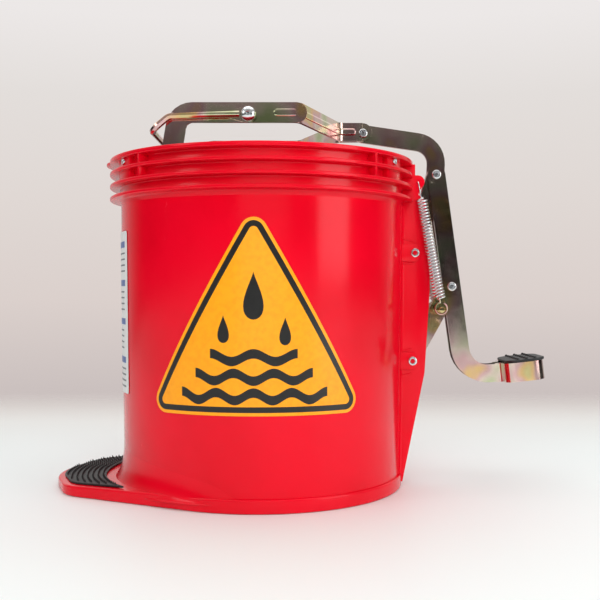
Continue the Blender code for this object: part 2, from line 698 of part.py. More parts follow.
roller_half = rail_inner - ROLLER_END_GAP
hub_half = rail_inner - RUN_GAP
bore_r = AXLE_R + AXLE_GAP
roller_profile = [(HUB_R, hub_half), (HUB_R, roller_half), (ROLLER_R - 0.0015, roller_half),
                  (ROLLER_R, roller_half - 0.0015), (ROLLER_R, 0.0015 - roller_half),
                  (ROLLER_R - 0.0015, -roller_half), (HUB_R, -roller_half), (HUB_R, -hub_half),
                  (bore_r, -hub_half), (bore_r, hub_half)]
fixed_end = rail_outer + RUN_GAP
fixed_axle = [(0, fixed_end + 0.0018), (AXLE_R + 0.001, fixed_end + 0.0018), (AXLE_R + 0.0018, fixed_end),
              (AXLE_R, fixed_end), (AXLE_R, -fixed_end), (AXLE_R + 0.0018, -fixed_end),
              (AXLE_R + 0.001, -fixed_end - 0.0018), (0, -fixed_end - 0.0018)]
axle_end = frame_outer + AXLE_CAP_T
moving_axle = [(0, axle_end), (AXLE_R - 0.0006, axle_end), (AXLE_R, axle_end - 0.0006),
               (AXLE_R, 0.0006 - axle_end), (AXLE_R - 0.0006, -axle_end), (0, -axle_end)]
cap_low = frame_outer + RUN_GAP
cap_hole = AXLE_R + RUN_GAP
cap_profile = [(cap_hole + 0.0008, cap_low + AXLE_CAP_T), (AXLE_CAP_R - 0.0015, cap_low + AXLE_CAP_T * 0.7),
               (AXLE_CAP_R, cap_low + 0.001), (AXLE_CAP_R, cap_low), (cap_hole, cap_low),
               (cap_hole, cap_low + AXLE_CAP_T - 0.0008)]
for level, roller_z in roller_zs.items():
    turned("fixed_roller_" + level, roller_profile, 18, grey_plastic, turn=along_y(FIXED_ROLLER_X, roller_z))
    turned("moving_roller_" + level, roller_profile, 18, grey_plastic, turn=along_y(LEG_X, roller_z))
    turned("fixed_axle_" + level, fixed_axle, 16, bright_zinc, turn=along_y(FIXED_ROLLER_X, roller_z))
    turned("moving_axle_" + level, moving_axle, 16, bright_zinc, turn=along_y(LEG_X, roller_z))
    for side_name, side in SIDES:
        turned(f"axle_cap_{level}_{side_name}", cap_profile, 12, bright_zinc,
               turn=along_y(LEG_X, roller_z, flip=side > 0))


# Pull frame: two bent strips riveted to the end of the top link

frame_z = PIVOT_E[1] + 0.0014
crank_inner = LINK_HALF_T + PLATE_GAP
tip_inner = crank_inner
tip_mid = tip_inner + FRAME_T / 2
arm_mid_y = frame_outer - FRAME_T / 2
bail_z = frame_z - BAIL_DROP - 0.0018
for side_name, side in SIDES:
    leg = rounded([(LEG_X, roller_zs["lower"]), (LEG_X, HEIGHT - 0.001), (LEG_X + FRAME_LEAN, frame_z),
                   (BEND_X - 0.002, frame_z)], [0, 0.04, FRAME_KNEE_R, 0], 6)
    holes = [circle((LEG_X, roller_z), AXLE_R + RUN_GAP) for roller_z in roller_zs.values()]
    holes.append(circle((BAIL_PIVOT_X, bail_z), RIVET_R + RUN_GAP, 14))
    arm = plate("frame_arm_" + side_name, [strip(leg, FRAME_HALF, steps=8)] + holes,
                *between(side, frame_inner, frame_outer), yellow_zinc)
    bend = rounded([(BEND_X - 0.022, side * arm_mid_y), (BEND_X, side * arm_mid_y), (TIP_X, side * tip_mid),
                    (PIVOT_E[0] - 0.0005, side * tip_mid)], [0, BEND_R, BEND_R, 0], 4)
    middle = plate("frame_bend_" + side_name, [strip(bend, FRAME_T / 2, round_ends=False)],
                   frame_z - FRAME_HALF, frame_z + FRAME_HALF, home=cutters, upright=False)
    tip_path = [Vector((PIVOT_E[0] - 0.008, frame_z)), Vector((PIVOT_E[0], frame_z))]
    tip = plate("frame_tip_" + side_name, [strip(tip_path, FRAME_HALF - 0.0002)],
                *between(side, tip_inner + 0.0001, tip_inner + FRAME_T - 0.0001), home=cutters)
    combine(arm, [middle, tip], "UNION")
    tip_bore = cylinder("tip_bore_" + side_name, RIVET_R + RUN_GAP, (PIVOT_E[0], -0.02, PIVOT_E[1]),
                        (PIVOT_E[0], 0.02, PIVOT_E[1]))
    combine(arm, [tip_bore], "DIFFERENCE")


# Linkage plates

def pin(name, pivot, reach, radius=RIVET_R, material=bright_zinc, head=True):
    """A tubular rivet across the middle plane, with a rolled head at each end."""
    top = reach + RUN_GAP
    if head:
        end = [(0, top - 0.0022), (RIVET_HOLE_R, top - 0.0022), (RIVET_HOLE_R + 0.0003, top + RIVET_HEAD_T),
               (RIVET_HEAD_R - 0.0009, top + RIVET_HEAD_T), (RIVET_HEAD_R, top + 0.0005), (RIVET_HEAD_R, top),
               (radius, top)]
    else:
        end = [(0, top), (radius - 0.0005, top), (radius, top - 0.0005)]
    return turned(name, end + [(r, -z) for r, z in reversed(end)], 14, material, turn=along_y(*pivot))


crank_outer = crank_inner + CRANK_T
arm_inner = crank_outer + PLATE_GAP
arm_outer = arm_inner + ARM_T
free_r = RIVET_R + RUN_GAP
open_r = RIVET_R + OPEN_PIVOT_GAP
b, d = Vector(PIVOT_B), Vector(PIVOT_D)
spring_pin_at = b + (d - b) * SPRING_PIN_SHARE

for side_name, side in SIDES:
    upper_strip = strip([Vector(PIVOT_A), Vector(PIVOT_C)], STRIP_HALF)
    plate("upper_crank_" + side_name, [upper_strip, circle(PIVOT_A, free_r), circle(PIVOT_C, open_r)],
          *between(side, crank_inner, crank_outer), yellow_zinc)
    plate("lower_crank_" + side_name,
          [strip([b, d], STRIP_HALF), circle(b, free_r), circle(d, free_r),
           circle(spring_pin_at, SPRING_PIN_R + RUN_GAP)],
          *between(side, crank_inner, crank_outer), yellow_zinc)
    for level, pivot in (("upper", PIVOT_A), ("lower", PIVOT_B)):
        low, high = crank_outer + PLATE_GAP, CHANNEL_HALF - PLATE_GAP
        turned(f"pivot_bush_{level}_{side_name}",
               [(RIVET_R + 0.0028, high), (RIVET_R + 0.0028, low), (free_r, low), (free_r, high)],
               16, bright_zinc, turn=along_y(*pivot, flip=side > 0))

pin("upper_pivot_rivet", PIVOT_A, tab_face)
pin("lower_pivot_rivet", PIVOT_B, tab_face)
pin("pedal_top_rivet", PIVOT_C, arm_outer)
pin("pedal_mid_rivet", PIVOT_D, arm_outer)
pin("frame_rivet", PIVOT_E, tip_inner + FRAME_T)
pin("spring_pin", spring_pin_at, SPRING_Y + 0.0035, SPRING_PIN_R, yellow_zinc, head=False)

c, e = Vector(PIVOT_C), Vector(PIVOT_E)
link_knee = Vector((c.x + 0.0013, HEIGHT + 0.0207))
link_path = rounded([e, link_knee, c], [0, LINK_KNEE_R, 0], 8)
plate("top_link", [strip(link_path, STRIP_HALF + 0.0002), circle(e, free_r), circle(c, open_r)],
      -LINK_HALF_T, LINK_HALF_T, yellow_zinc)


# Pedal: one strip bent into two arms and a hoop, with a rubber grip on top

knee = Vector(PEDAL_KNEE)
level_out = Vector((cos(PEDAL_SLOPE), sin(PEDAL_SLOPE)))
arm_end = knee + level_out * ARM_END
arm_path = rounded([c, knee, arm_end], [0, PEDAL_KNEE_R, 0], 8)
arm_outline = strip(arm_path, STRIP_HALF)
# The arm's free end is square, where the strip turns outwards into the hoop.
cap_points = 7
arm_outline = arm_outline[:len(arm_path)] + arm_outline[len(arm_path) + cap_points:]
pedal = plate("pedal_strip", [arm_outline, circle(c, free_r), circle(d, free_r)],
              *between(-1, arm_inner, arm_outer), yellow_zinc)
far_arm = plate("pedal_far_arm", [arm_outline, circle(c, free_r), circle(d, free_r)],
                *between(1, arm_inner, arm_outer), home=cutters)

tilt = Matrix.Translation((knee.x, 0, knee.y)) @ Matrix.Rotation(-PEDAL_SLOPE, 4, "Y")
arm_mid = (arm_inner + arm_outer) / 2
hoop_wall = ARM_T / 2
hoop_path = rounded([(ARM_END - 0.006, -arm_mid), (ARM_END, -arm_mid), (HOOP_START, -HOOP_HALF_Y),
                     (HOOP_END, -HOOP_HALF_Y), (HOOP_END, HOOP_HALF_Y), (HOOP_START, HOOP_HALF_Y),
                     (ARM_END, arm_mid), (ARM_END - 0.006, arm_mid)],
                    [0, 0.0035, HOOP_ROOT_R, HOOP_CORNER_R, HOOP_CORNER_R, HOOP_ROOT_R, 0.0035, 0], 5)
hoop = plate("pedal_hoop", [strip(hoop_path, hoop_wall - 0.0001, round_ends=False)],
             -HOOP_H / 2, HOOP_H / 2, home=cutters, upright=False, turn=tilt)
combine(pedal, [hoop, far_arm], "UNION")


def grip_ring(grow, left_gap=0.0):
    """The hoop's rounded outline, grown or shrunk."""
    low_x, high_x = HOOP_START - grow + left_gap, HOOP_END + grow
    half_y = HOOP_HALF_Y + grow
    radius, root_r = (max(0.004, corner_r + grow) for corner_r in (HOOP_CORNER_R, HOOP_ROOT_R))
    return rounded([(low_x, -half_y), (high_x, -half_y), (high_x, half_y), (low_x, half_y)],
                   [root_r, radius, radius, root_r], 5, closed=True)


grip_low = HOOP_H / 2 + RUN_GAP
grip = plate("pedal_grip", [grip_ring(hoop_wall + PEDAL_GRIP_OVERHANG, 0.003)],
             grip_low, grip_low + PEDAL_GRIP_T, black_rubber, upright=False, turn=tilt)
plug = plate("grip_plug", [grip_ring(-hoop_wall - RUN_GAP, 0.004)],
             grip_low - PEDAL_PLUG_T, grip_low + 0.001, home=cutters, upright=False, turn=tilt)
combine(grip, [plug], "UNION")


# Carrying bail

def rounded_3d(points, radii, steps=5):
    path = [Vector(points[0])]
    for i in range(1, len(points) - 1):
        before, at, after = (Vector(points[j]) for j in (i - 1, i, i + 1))
        back, on = (before - at).normalized(), (after - at).normalized()
        half = back.angle(on) / 2
        reach = radii[i] * cos(half) / sin(half)
        centre = at + (back + on).normalized() * (radii[i] / sin(half))
        first, last = at + back * reach - centre, at + on * reach - centre
        path += [centre + first.slerp(last, j / steps).normalized() * radii[i] for j in range(steps + 1)]
    return path + [Vector(points[-1])]


eye_low = frame_outer + RUN_GAP + 0.0001
bail_y = eye_low + BAIL_R + 0.0005
pivot_x, bar_x = BAIL_PIVOT_X, BAIL_PIVOT_X + BAIL_BAR[0]
bail_points = []
for side in (-1, 1):
    run = [(pivot_x - DOME_R - 0.0012, side * bail_y, bail_z),
           (pivot_x + BAIL_KNEE[0], side * bail_y, bail_z + BAIL_KNEE[1]),
           (bar_x, side * bail_y, bail_z + BAIL_BAR[1])]
    bail_points += run if side < 0 else run[::-1]
bail_radii = [0, BAIL_KNEE_R, BAIL_CORNER_R, BAIL_CORNER_R, BAIL_KNEE_R, 0]
bail = wire("bail", rounded_3d(bail_points, bail_radii), BAIL_R, yellow_zinc)
eyes = []
for side_name, side in SIDES:
    head = [Vector((pivot_x + EYE_R * cos(a), bail_z + EYE_R * sin(a)))
            for a in (radians(-125 + 250 * i / 14) for i in range(15))]
    neck = [Vector((pivot_x - EYE_NECK, bail_z + end * BAIL_R * 0.8)) for end in (1, -1)]
    eyes.append(plate("bail_eye_" + side_name, [head + neck],
                      *between(side, eye_low, eye_low + EYE_T), home=cutters))
combine(bail, eyes, "UNION")
bail_bore = cylinder("bail_bore", RIVET_R + RUN_GAP, (pivot_x, -0.2, bail_z), (pivot_x, 0.2, bail_z))
combine(bail, [bail_bore], "DIFFERENCE")
for side_name, side in SIDES:
    seat = eye_low + EYE_T + RUN_GAP
    dome = [(DOME_R * sin(pi / 2 * i / 5), seat + 0.0008 + DOME_H * cos(pi / 2 * i / 5)) for i in range(6)]
    tail = frame_inner - RUN_GAP
    turned("bail_rivet_" + side_name,
           dome + [(DOME_R, seat), (RIVET_R, seat), (RIVET_R, tail), (RIVET_HEAD_R, tail),
                   (RIVET_HEAD_R - 0.0008, tail - 0.0014), (0, tail - 0.0014)],
           16, bright_zinc, turn=along_y(pivot_x, bail_z, flip=side > 0))


# Return springs: a coil that hangs from the ear, and a lower hook that draws out of it

loop_centre = spring_pin_at + (Vector(ear_wire) - spring_pin_at).normalized() * PIN_IN_LOOP
down = (loop_centre - Vector(ear_wire)).normalized()
spring_span = (loop_centre - Vector(ear_wire)).length
lean = atan2(down.x, -down.y)
for side_name, side in SIDES:
    hang = (Matrix.Translation((ear_wire[0], side * SPRING_Y, ear_wire[1]))
            @ Matrix.Rotation(-lean, 4, "Y"))
    low, high = -(spring_span - COIL_TO), -COIL_FROM
    bore = HOOK_ROD_R + RUN_GAP
    coil = turned("spring_coil_" + side_name,
                  [(0, high), (SPRING_R - 0.001, high), (SPRING_R, high - 0.001), (SPRING_R, low + 0.001),
                   (SPRING_R - 0.001, low), (bore, low), (bore, high - 0.012), (0, high - 0.012)],
                  16, bright_zinc, turn=hang)
    top = Vector((ear_wire[0], side * SPRING_Y, ear_wire[1]))
    axis_down = Vector((down.x, 0, down.y))
    through = side * (CHANNEL_HALF - 0.003)
    hook_path = rounded_3d([top + axis_down * (COIL_FROM + 0.002), top,
                            Vector((ear_wire[0], through, ear_wire[1]))], [0, 0.0035, 0], 5)
    combine(coil, [wire("top_hook_" + side_name, hook_path, WIRE_R, home=cutters)], "UNION")
    rod_low = low - (COIL_TO - HOOK_LOOP_R)
    hook = cylinder("spring_hook_" + side_name, HOOK_ROD_R, top - axis_down * (high - 0.032),
                    top - axis_down * (rod_low + WIRE_R * 0.2), 10, parts, yellow_zinc)
    loop_mid = Vector((loop_centre.x, side * SPRING_Y, loop_centre.y))
    section = [-2 * pi * i / 6 for i in range(6)]
    ring_profile = [(HOOK_LOOP_R + WIRE_R * cos(a), WIRE_R * sin(a)) for a in section]
    loop = turned("hook_loop_" + side_name, ring_profile, 18, home=cutters,
                  turn=Matrix.Translation(loop_mid) @ Matrix.Rotation(pi / 2, 4, "X"))
    combine(hook, [loop], "UNION")
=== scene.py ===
# Pedal wringer bucket: moulded red shell, yellow zinc linkage, printed films and studded rubber pads.
import json
from math import atan2, cos, pi, radians, sin, sqrt

import bmesh
import bpy
from mathutils import Matrix, Vector


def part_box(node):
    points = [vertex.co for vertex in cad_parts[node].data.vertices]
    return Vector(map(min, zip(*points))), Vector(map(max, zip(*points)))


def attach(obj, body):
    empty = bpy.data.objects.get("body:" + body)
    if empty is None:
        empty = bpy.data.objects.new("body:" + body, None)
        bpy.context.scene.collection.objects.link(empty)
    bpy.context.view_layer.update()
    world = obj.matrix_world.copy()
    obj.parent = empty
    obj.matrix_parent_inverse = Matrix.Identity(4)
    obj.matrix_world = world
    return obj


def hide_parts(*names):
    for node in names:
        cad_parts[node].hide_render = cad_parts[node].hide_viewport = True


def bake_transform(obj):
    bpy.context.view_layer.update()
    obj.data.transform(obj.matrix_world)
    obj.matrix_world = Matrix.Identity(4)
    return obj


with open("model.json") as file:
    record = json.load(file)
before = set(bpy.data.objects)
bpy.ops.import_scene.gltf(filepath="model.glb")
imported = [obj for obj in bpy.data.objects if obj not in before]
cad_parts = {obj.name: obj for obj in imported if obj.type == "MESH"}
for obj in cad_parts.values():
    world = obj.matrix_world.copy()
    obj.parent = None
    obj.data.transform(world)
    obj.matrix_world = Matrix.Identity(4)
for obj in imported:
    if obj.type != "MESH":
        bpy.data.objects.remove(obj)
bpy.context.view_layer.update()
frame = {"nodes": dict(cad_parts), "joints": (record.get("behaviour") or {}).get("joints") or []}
print("frame loaded:", len(frame["nodes"]), "nodes")

scene = bpy.context.scene
scene.view_settings.view_transform = "Standard"
scene.view_settings.look = "None"


def addNode(tree, kind, inputs=None, **settings):
    node = tree.nodes.new(kind)
    for key, value in settings.items():
        setattr(node, key, value)
    for key, value in (inputs or {}).items():
        if isinstance(value, bpy.types.NodeSocket):
            tree.links.new(value, node.inputs[key])
        else:
            node.inputs[key].default_value = value
    return node


def ramp(tree, factor, stops):
    node = addNode(tree, "ShaderNodeValToRGB", {"Fac": factor})
    elements = node.color_ramp.elements
    while len(elements) < len(stops):
        elements.new(0.5)
    for element, (at, colour) in zip(elements, stops):
        element.position = at
        element.color = (*colour, 1)
    return node.outputs["Color"]


def newGroup(name, ins, outs):
    group = bpy.data.node_groups.new(name, "ShaderNodeTree")
    for label, value in ins.items():
        kind = "NodeSocketVector" if value is None else "NodeSocketFloat"
        socket = group.interface.new_socket(label, in_out="INPUT", socket_type=kind)
        if value is not None:
            socket.default_value = value
    for label, kind in outs.items():
        group.interface.new_socket(label, in_out="OUTPUT", socket_type=kind)
    return group, group.nodes.new("NodeGroupInput"), group.nodes.new("NodeGroupOutput")


def noise(tree, place, scale, detail, **more):
    inputs = {"Vector": place, "Scale": scale, "Detail": detail, **more}
    return addNode(tree, "ShaderNodeTexNoise", inputs).outputs["Fac"]


def mapRange(tree, value, given=(0.0, 1.0), wanted=(0.0, 1.0), **settings):
    limits = dict(zip(("From Min", "From Max", "To Min", "To Max"), (*given, *wanted)))
    return addNode(tree, "ShaderNodeMapRange", {"Value": value, **limits}, **settings).outputs[0]


def calculate(tree, operation, first, second):
    return addNode(tree, "ShaderNodeMath", {0: first, 1: second}, operation=operation).outputs[0]


mouldGrain = {"waveScale": 14.0, "waveDetail": 1.0, "fineDetail": 3.0}


def makeGrainGroup():
    group, start, end = newGroup("mouldGrain", {"Vector": None, "Scale": 900.0, "Waviness": 0.2},
                                 {"Height": "NodeSocketFloat"})
    given = start.outputs
    broad = noise(group, given["Vector"], mouldGrain["waveScale"], mouldGrain["waveDetail"])
    fine = noise(group, given["Vector"], given["Scale"], mouldGrain["fineDetail"])
    lift = calculate(group, "MULTIPLY", broad, given["Waviness"])
    group.links.new(calculate(group, "ADD", fine, lift), end.inputs["Height"])
    return group


# thin lines, stretched along one slanted direction
handlingScuffs = {"turn": (0.4, 0.9, 0.3), "stretch": (1, 7, 1), "detail": 6.0, "roughness": 0.7,
                  "keep": (0.6, 0.72)}


def makeScuffGroup():
    s = handlingScuffs
    group, start, end = newGroup("handlingScuffs", {"Vector": None, "Scale": 40.0, "Amount": 0.3},
                                 {"Mask": "NodeSocketFloat"})
    given = start.outputs
    stretch = addNode(group, "ShaderNodeMapping", {"Vector": given["Vector"], "Rotation": s["turn"],
                                                   "Scale": s["stretch"]}).outputs["Vector"]
    lines = noise(group, stretch, given["Scale"], s["detail"], Roughness=s["roughness"])
    mask = calculate(group, "MULTIPLY", mapRange(group, lines, s["keep"]), given["Amount"])
    group.links.new(mask, end.inputs["Mask"])
    return group


# the colours that yellow passivation drifts through
passivateBloom = {"detail": 1.5, "cloudScale": 160.0, "cloudDetail": 4.0,
                  "tints": ((0.28, (0.42, 0.50, 0.24)), (0.38, (0.60, 0.57, 0.40)),
                            (0.47, (0.72, 0.57, 0.49)), (0.56, (0.66, 0.41, 0.41)),
                            (0.66, (0.74, 0.48, 0.22)), (0.78, (0.48, 0.54, 0.27)))}


def makePlateBloomGroup():
    b = passivateBloom
    group, start, end = newGroup("passivateBloom", {"Vector": None, "Scale": 24.0},
                                 {"Color": "NodeSocketColor", "Cloud": "NodeSocketFloat"})
    given = start.outputs
    drift = noise(group, given["Vector"], given["Scale"], b["detail"])
    group.links.new(ramp(group, drift, b["tints"]), end.inputs["Color"])
    cloud = noise(group, given["Vector"], b["cloudScale"], b["cloudDetail"])
    group.links.new(cloud, end.inputs["Cloud"])
    return group


grainGroup = makeGrainGroup()
scuffGroup = makeScuffGroup()
bloomGroup = makePlateBloomGroup()


def newMaterial(name):
    material = bpy.data.materials.new(name)
    material.use_nodes = True
    tree = material.node_tree
    place = addNode(tree, "ShaderNodeTexCoord").outputs["Object"]
    return material, tree, tree.nodes["Principled BSDF"], place


def useGroup(tree, group, place, **values):
    node = tree.nodes.new("ShaderNodeGroup")
    node.node_tree = group
    tree.links.new(place, node.inputs["Vector"])
    for key, value in values.items():
        node.inputs[key].default_value = value
    return node


def linkSurface(tree, shader, colour, rough):
    tree.links.new(colour, shader.inputs["Base Color"])
    tree.links.new(rough, shader.inputs["Roughness"])


def addBump(tree, shader, height, look):
    bump = addNode(tree, "ShaderNodeBump", {"Strength": look["bump"], "Distance": look["depth"],
                                            "Height": height})
    tree.links.new(bump.outputs["Normal"], shader.inputs["Normal"])


def addGrain(tree, shader, place, look):
    grain = useGroup(tree, grainGroup, place, Scale=look["grain"], Waviness=look["waviness"])
    addBump(tree, shader, grain.outputs["Height"], look)


redPlastic = {"tones": ((0.35, (0.70, 0.0008, 0.0120)), (0.6, (0.79, 0.0012, 0.0165))), "scale": 9.0,
              "roughness": 0.17, "scuffScale": 26.0, "scuffs": 0.12, "specular": 0.24, "ior": 1.49,
              "grain": 1500.0, "waviness": 5.0, "bump": 0.035, "depth": 0.0004}


def makeRedPlastic():
    look = redPlastic
    material, tree, shader, place = newMaterial("redPlastic")
    cloud = noise(tree, place, look["scale"], 3.0)
    scuffs = useGroup(tree, scuffGroup, place, Scale=look["scuffScale"], Amount=look["scuffs"])
    rough = calculate(tree, "ADD", scuffs.outputs["Mask"], look["roughness"])
    linkSurface(tree, shader, ramp(tree, cloud, look["tones"]), rough)
    shader.inputs["Specular IOR Level"].default_value = look["specular"]
    shader.inputs["IOR"].default_value = look["ior"]
    addGrain(tree, shader, place, look)
    return material


yellowPlating = {"roughness": 0.15, "spread": 0.05, "scale": 30.0, "scuffScale": 60.0, "scuffs": 0.18,
                 "bump": 0.05, "depth": 0.0002}
hookPlating = {**yellowPlating, "roughness": 0.22, "scale": 70.0}


def makePlating(name, look):
    material, tree, shader, place = newMaterial(name)
    bloom = useGroup(tree, bloomGroup, place, Scale=look["scale"])
    scuffs = useGroup(tree, scuffGroup, place, Scale=look["scuffScale"], Amount=look["scuffs"])
    limits = (look["roughness"] - look["spread"], look["roughness"] + look["spread"])
    soft = mapRange(tree, bloom.outputs["Cloud"], wanted=limits)
    rough = calculate(tree, "ADD", soft, scuffs.outputs["Mask"])
    linkSurface(tree, shader, bloom.outputs["Color"], rough)
    shader.inputs["Metallic"].default_value = 1.0
    addBump(tree, shader, bloom.outputs["Cloud"], look)
    return material


brightPlating = {"tones": ((0.0, (0.78, 0.80, 0.82)), (0.25, (0.6, 0.62, 0.64))), "roughness": 0.2,
                 "scuffScale": 90.0, "scuffs": 0.25, "grain": 1800.0, "waviness": 0.5, "bump": 0.08,
                 "depth": 0.0002}


def makeBrightZinc():
    look = brightPlating
    material, tree, shader, place = newMaterial("brightZinc")
    scuffs = useGroup(tree, scuffGroup, place, Scale=look["scuffScale"], Amount=look["scuffs"])
    rough = calculate(tree, "ADD", scuffs.outputs["Mask"], look["roughness"])
    linkSurface(tree, shader, ramp(tree, scuffs.outputs["Mask"], look["tones"]), rough)
    shader.inputs["Metallic"].default_value = 1.0
    addGrain(tree, shader, place, look)
    return material


studdedRubber = {"tones": ((0.4, (0.011, 0.011, 0.012)), (0.75, (0.03, 0.03, 0.031))), "scale": 120.0,
                 "detail": 5.0, "roughness": (0.42, 0.7), "grain": 2200.0, "waviness": 0.3, "bump": 0.35,
                 "depth": 0.0004}
rollerPlastic = {"tones": ((0.35, (0.20, 0.21, 0.23)), (0.7, (0.27, 0.28, 0.30))), "scale": 30.0,
                 "detail": 4.0, "roughness": (0.35, 0.55), "grain": 1300.0, "waviness": 0.6, "bump": 0.2,
                 "depth": 0.0004}
film = {"scale": 220.0, "detail": 4.0, "roughness": (0.27, 0.40), "grain": 700.0, "waviness": 2.0,
        "bump": 0.05, "depth": 0.0003}


def makeMottled(name, look):
    material, tree, shader, place = newMaterial(name)
    cloud = noise(tree, place, look["scale"], look["detail"])
    rough = mapRange(tree, cloud, wanted=look["roughness"])
    linkSurface(tree, shader, ramp(tree, cloud, look["tones"]), rough)
    addGrain(tree, shader, place, look)
    return material


def makeFilm(name, light, dark):
    return makeMottled(name, {**film, "tones": ((0.3, dark), (0.6, light))})


red = makeRedPlastic()
yellowZinc = makePlating("yellowZinc", yellowPlating)
hookZinc = makePlating("hookZinc", hookPlating)
brightZinc = makeBrightZinc()
rubber = makeMottled("studdedRubber", studdedRubber)
rollerGrey = makeMottled("rollerGrey", rollerPlastic)
amberInk = makeFilm("amberInk", (1.0, 0.375, 0.0), (0.94, 0.33, 0.0))
blackInk = makeFilm("blackInk", (0.012, 0.011, 0.011), (0.008, 0.008, 0.008))
whiteFilm = makeFilm("whiteFilm", (0.80, 0.80, 0.79), (0.74, 0.74, 0.74))
greyInk = makeFilm("greyInk", (0.10, 0.11, 0.13), (0.07, 0.08, 0.10))
blueInk = makeFilm("blueInk", (0.03, 0.10, 0.36), (0.02, 0.08, 0.30))
print("materials ready")


def finish(name, work, material, body, replaced=(), smooth=38, weighted=False,
           recalc=True):
    if recalc:
        bmesh.ops.recalc_face_normals(work, faces=work.faces)
    mesh = bpy.data.meshes.new(name)
    work.to_mesh(mesh)
    work.free()
    mesh.materials.append(material)
    mesh.shade_smooth()
    mesh.set_sharp_from_angle(angle=radians(smooth))
    piece = bpy.data.objects.new(name, mesh)
    scene.collection.objects.link(piece)
    if weighted:
        even = piece.modifiers.new("evenNormals", "WEIGHTED_NORMAL")
        even.keep_sharp = True
        even.weight = 100
    if body:
        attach(piece, body)
    if replaced:
        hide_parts(*replaced)
    return piece


def bevelEdges(work, edges, width, segments=2):
    bmesh.ops.bevel(work, geom=edges, offset=width, offset_type="OFFSET", segments=segments, profile=0.5,
                    affect="EDGES", material=-1, clamp_overlap=True)


def sharpEdges(work, angle=40):
    return [e for e in work.edges if len(e.link_faces) == 2 and e.calc_face_angle(0) > radians(angle)]


def roundCorners(points, radii, steps=6):
    count = len(points)
    path = []
    for i, radius in enumerate(radii):
        at = Vector(points[i])
        if not radius:
            path.append(at)
            continue
        back = (Vector(points[i - 1]) - at).normalized()
        on = (Vector(points[(i + 1) % count]) - at).normalized()
        half = back.angle(on) / 2
        centre = at + (back + on).normalized() * (radius / sin(half))
        first = at + back * (radius * cos(half) / sin(half)) - centre
        last = at + on * (radius * cos(half) / sin(half)) - centre
        path += [centre + first.slerp(last, j / steps).normalized() * radius for j in range(steps + 1)]
    return path


def spun(profile, steps=64, closed=False):
    work = bmesh.new()
    verts = [work.verts.new((r, 0, z)) for r, z in profile]
    edges = [work.edges.new(pair) for pair in zip(verts, verts[1:])]
    if closed:
        edges.append(work.edges.new((verts[-1], verts[0])))
    bmesh.ops.spin(work, geom=verts + edges, cent=(0, 0, 0), axis=(0, 0, 1), angle=2 * pi, steps=steps,
                   use_merge=True)
    bmesh.ops.remove_doubles(work, verts=work.verts, dist=2e-6)
    bmesh.ops.recalc_face_normals(work, faces=work.faces)
    return work


def turnOnto(work, at, toward=-1):
    turn = Matrix.Rotation(-toward * pi / 2, 3, "X")
    bmesh.ops.rotate(work, verts=work.verts, cent=(0, 0, 0), matrix=turn)
    bmesh.ops.translate(work, verts=work.verts, vec=at)
    return work


def vertsOf(grown):
    return [item for item in grown["geom"] if isinstance(item, bmesh.types.BMVert)]


def rectangle(left, right, low, high, inset=0.0):
    left, right, low, high = left + inset, right - inset, low + inset, high - inset
    return [(left, low), (right, low), (right, high), (left, high)]


def prism(outline, low, high, bevel=0.0, segments=2, upright=False):
    work = bmesh.new()
    spots = [(p[0], low, p[1]) if upright else (p[0], p[1], low) for p in outline]
    face = work.faces.new([work.verts.new(spot) for spot in spots])
    grown = bmesh.ops.extrude_face_region(work, geom=[face])
    rise = (0, high - low, 0) if upright else (0, 0, high - low)
    bmesh.ops.translate(work, verts=vertsOf(grown), vec=rise)
    bmesh.ops.recalc_face_normals(work, faces=work.faces)
    if bevel:
        bevelEdges(work, sharpEdges(work, 50), bevel, segments)
    return work


def joinShapes(shapes):
    whole = bmesh.new()
    for shape in shapes:
        loose = bpy.data.meshes.new("loose")
        shape.to_mesh(loose)
        shape.free()
        whole.from_mesh(loose)
        bpy.data.meshes.remove(loose)
    return whole


def block(size, turn, bevel=0.0006):
    work = bmesh.new()
    bmesh.ops.create_cube(work, size=1, matrix=Matrix.Diagonal((*size, 1)))
    if bevel:
        bevelEdges(work, list(work.edges), bevel, 2)
    bmesh.ops.transform(work, matrix=turn, verts=work.verts)
    return work


def middleOf(node):
    low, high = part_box(node)
    return (low + high) / 2


sides = (("near", -1), ("far", 1))


# painted shade: the floor's colour darkens and warms towards the back, and is tinted cool in front against
# the red light bounced from the bucket
studio = {"front": -2.6, "back": 1.0, "side": 2.3, "level": -0.0002, "roughness": 0.55,
          "tones": ((0.0, (0.84, 0.91, 0.91)), (1.0, (0.79, 0.76, 0.73))), "paintedShadeDepth": (0.1, 0.75),
          "fadeDepth": (0.42, 0.9)}


def makeStudio():
    work = bmesh.new()
    bmesh.ops.create_grid(work, x_segments=2, y_segments=2, size=1)
    front, back = studio["front"], studio["back"]
    bmesh.ops.scale(work, verts=work.verts, vec=(studio["side"], (back - front) / 2, 1))
    bmesh.ops.translate(work, verts=work.verts, vec=(0, (back + front) / 2, studio["level"]))
    mesh = bpy.data.meshes.new("studioFloor")
    work.to_mesh(mesh)
    work.free()
    floor = bpy.data.objects.new("studioFloor", mesh)
    scene.collection.objects.link(floor)
    material, tree, shader, place = newMaterial("paleFloor")
    shader.inputs["Roughness"].default_value = studio["roughness"]
    depth = addNode(tree, "ShaderNodeSeparateXYZ", {"Vector": place}).outputs["Y"]
    # painted shade along the floor's depth
    tone = mapRange(tree, depth, studio["paintedShadeDepth"], interpolation_type="SMOOTHSTEP")
    tree.links.new(ramp(tree, tone, studio["tones"]), shader.inputs["Base Color"])
    # the floor fades into the air behind the bucket
    fade = mapRange(tree, depth, studio["fadeDepth"], interpolation_type="SMOOTHSTEP")
    clear = addNode(tree, "ShaderNodeBsdfTransparent").outputs[0]
    mix = addNode(tree, "ShaderNodeMixShader", {0: fade, 1: shader.outputs[0], 2: clear})
    tree.links.new(mix.outputs[0], tree.nodes["Material Output"].inputs["Surface"])
    mesh.materials.append(material)
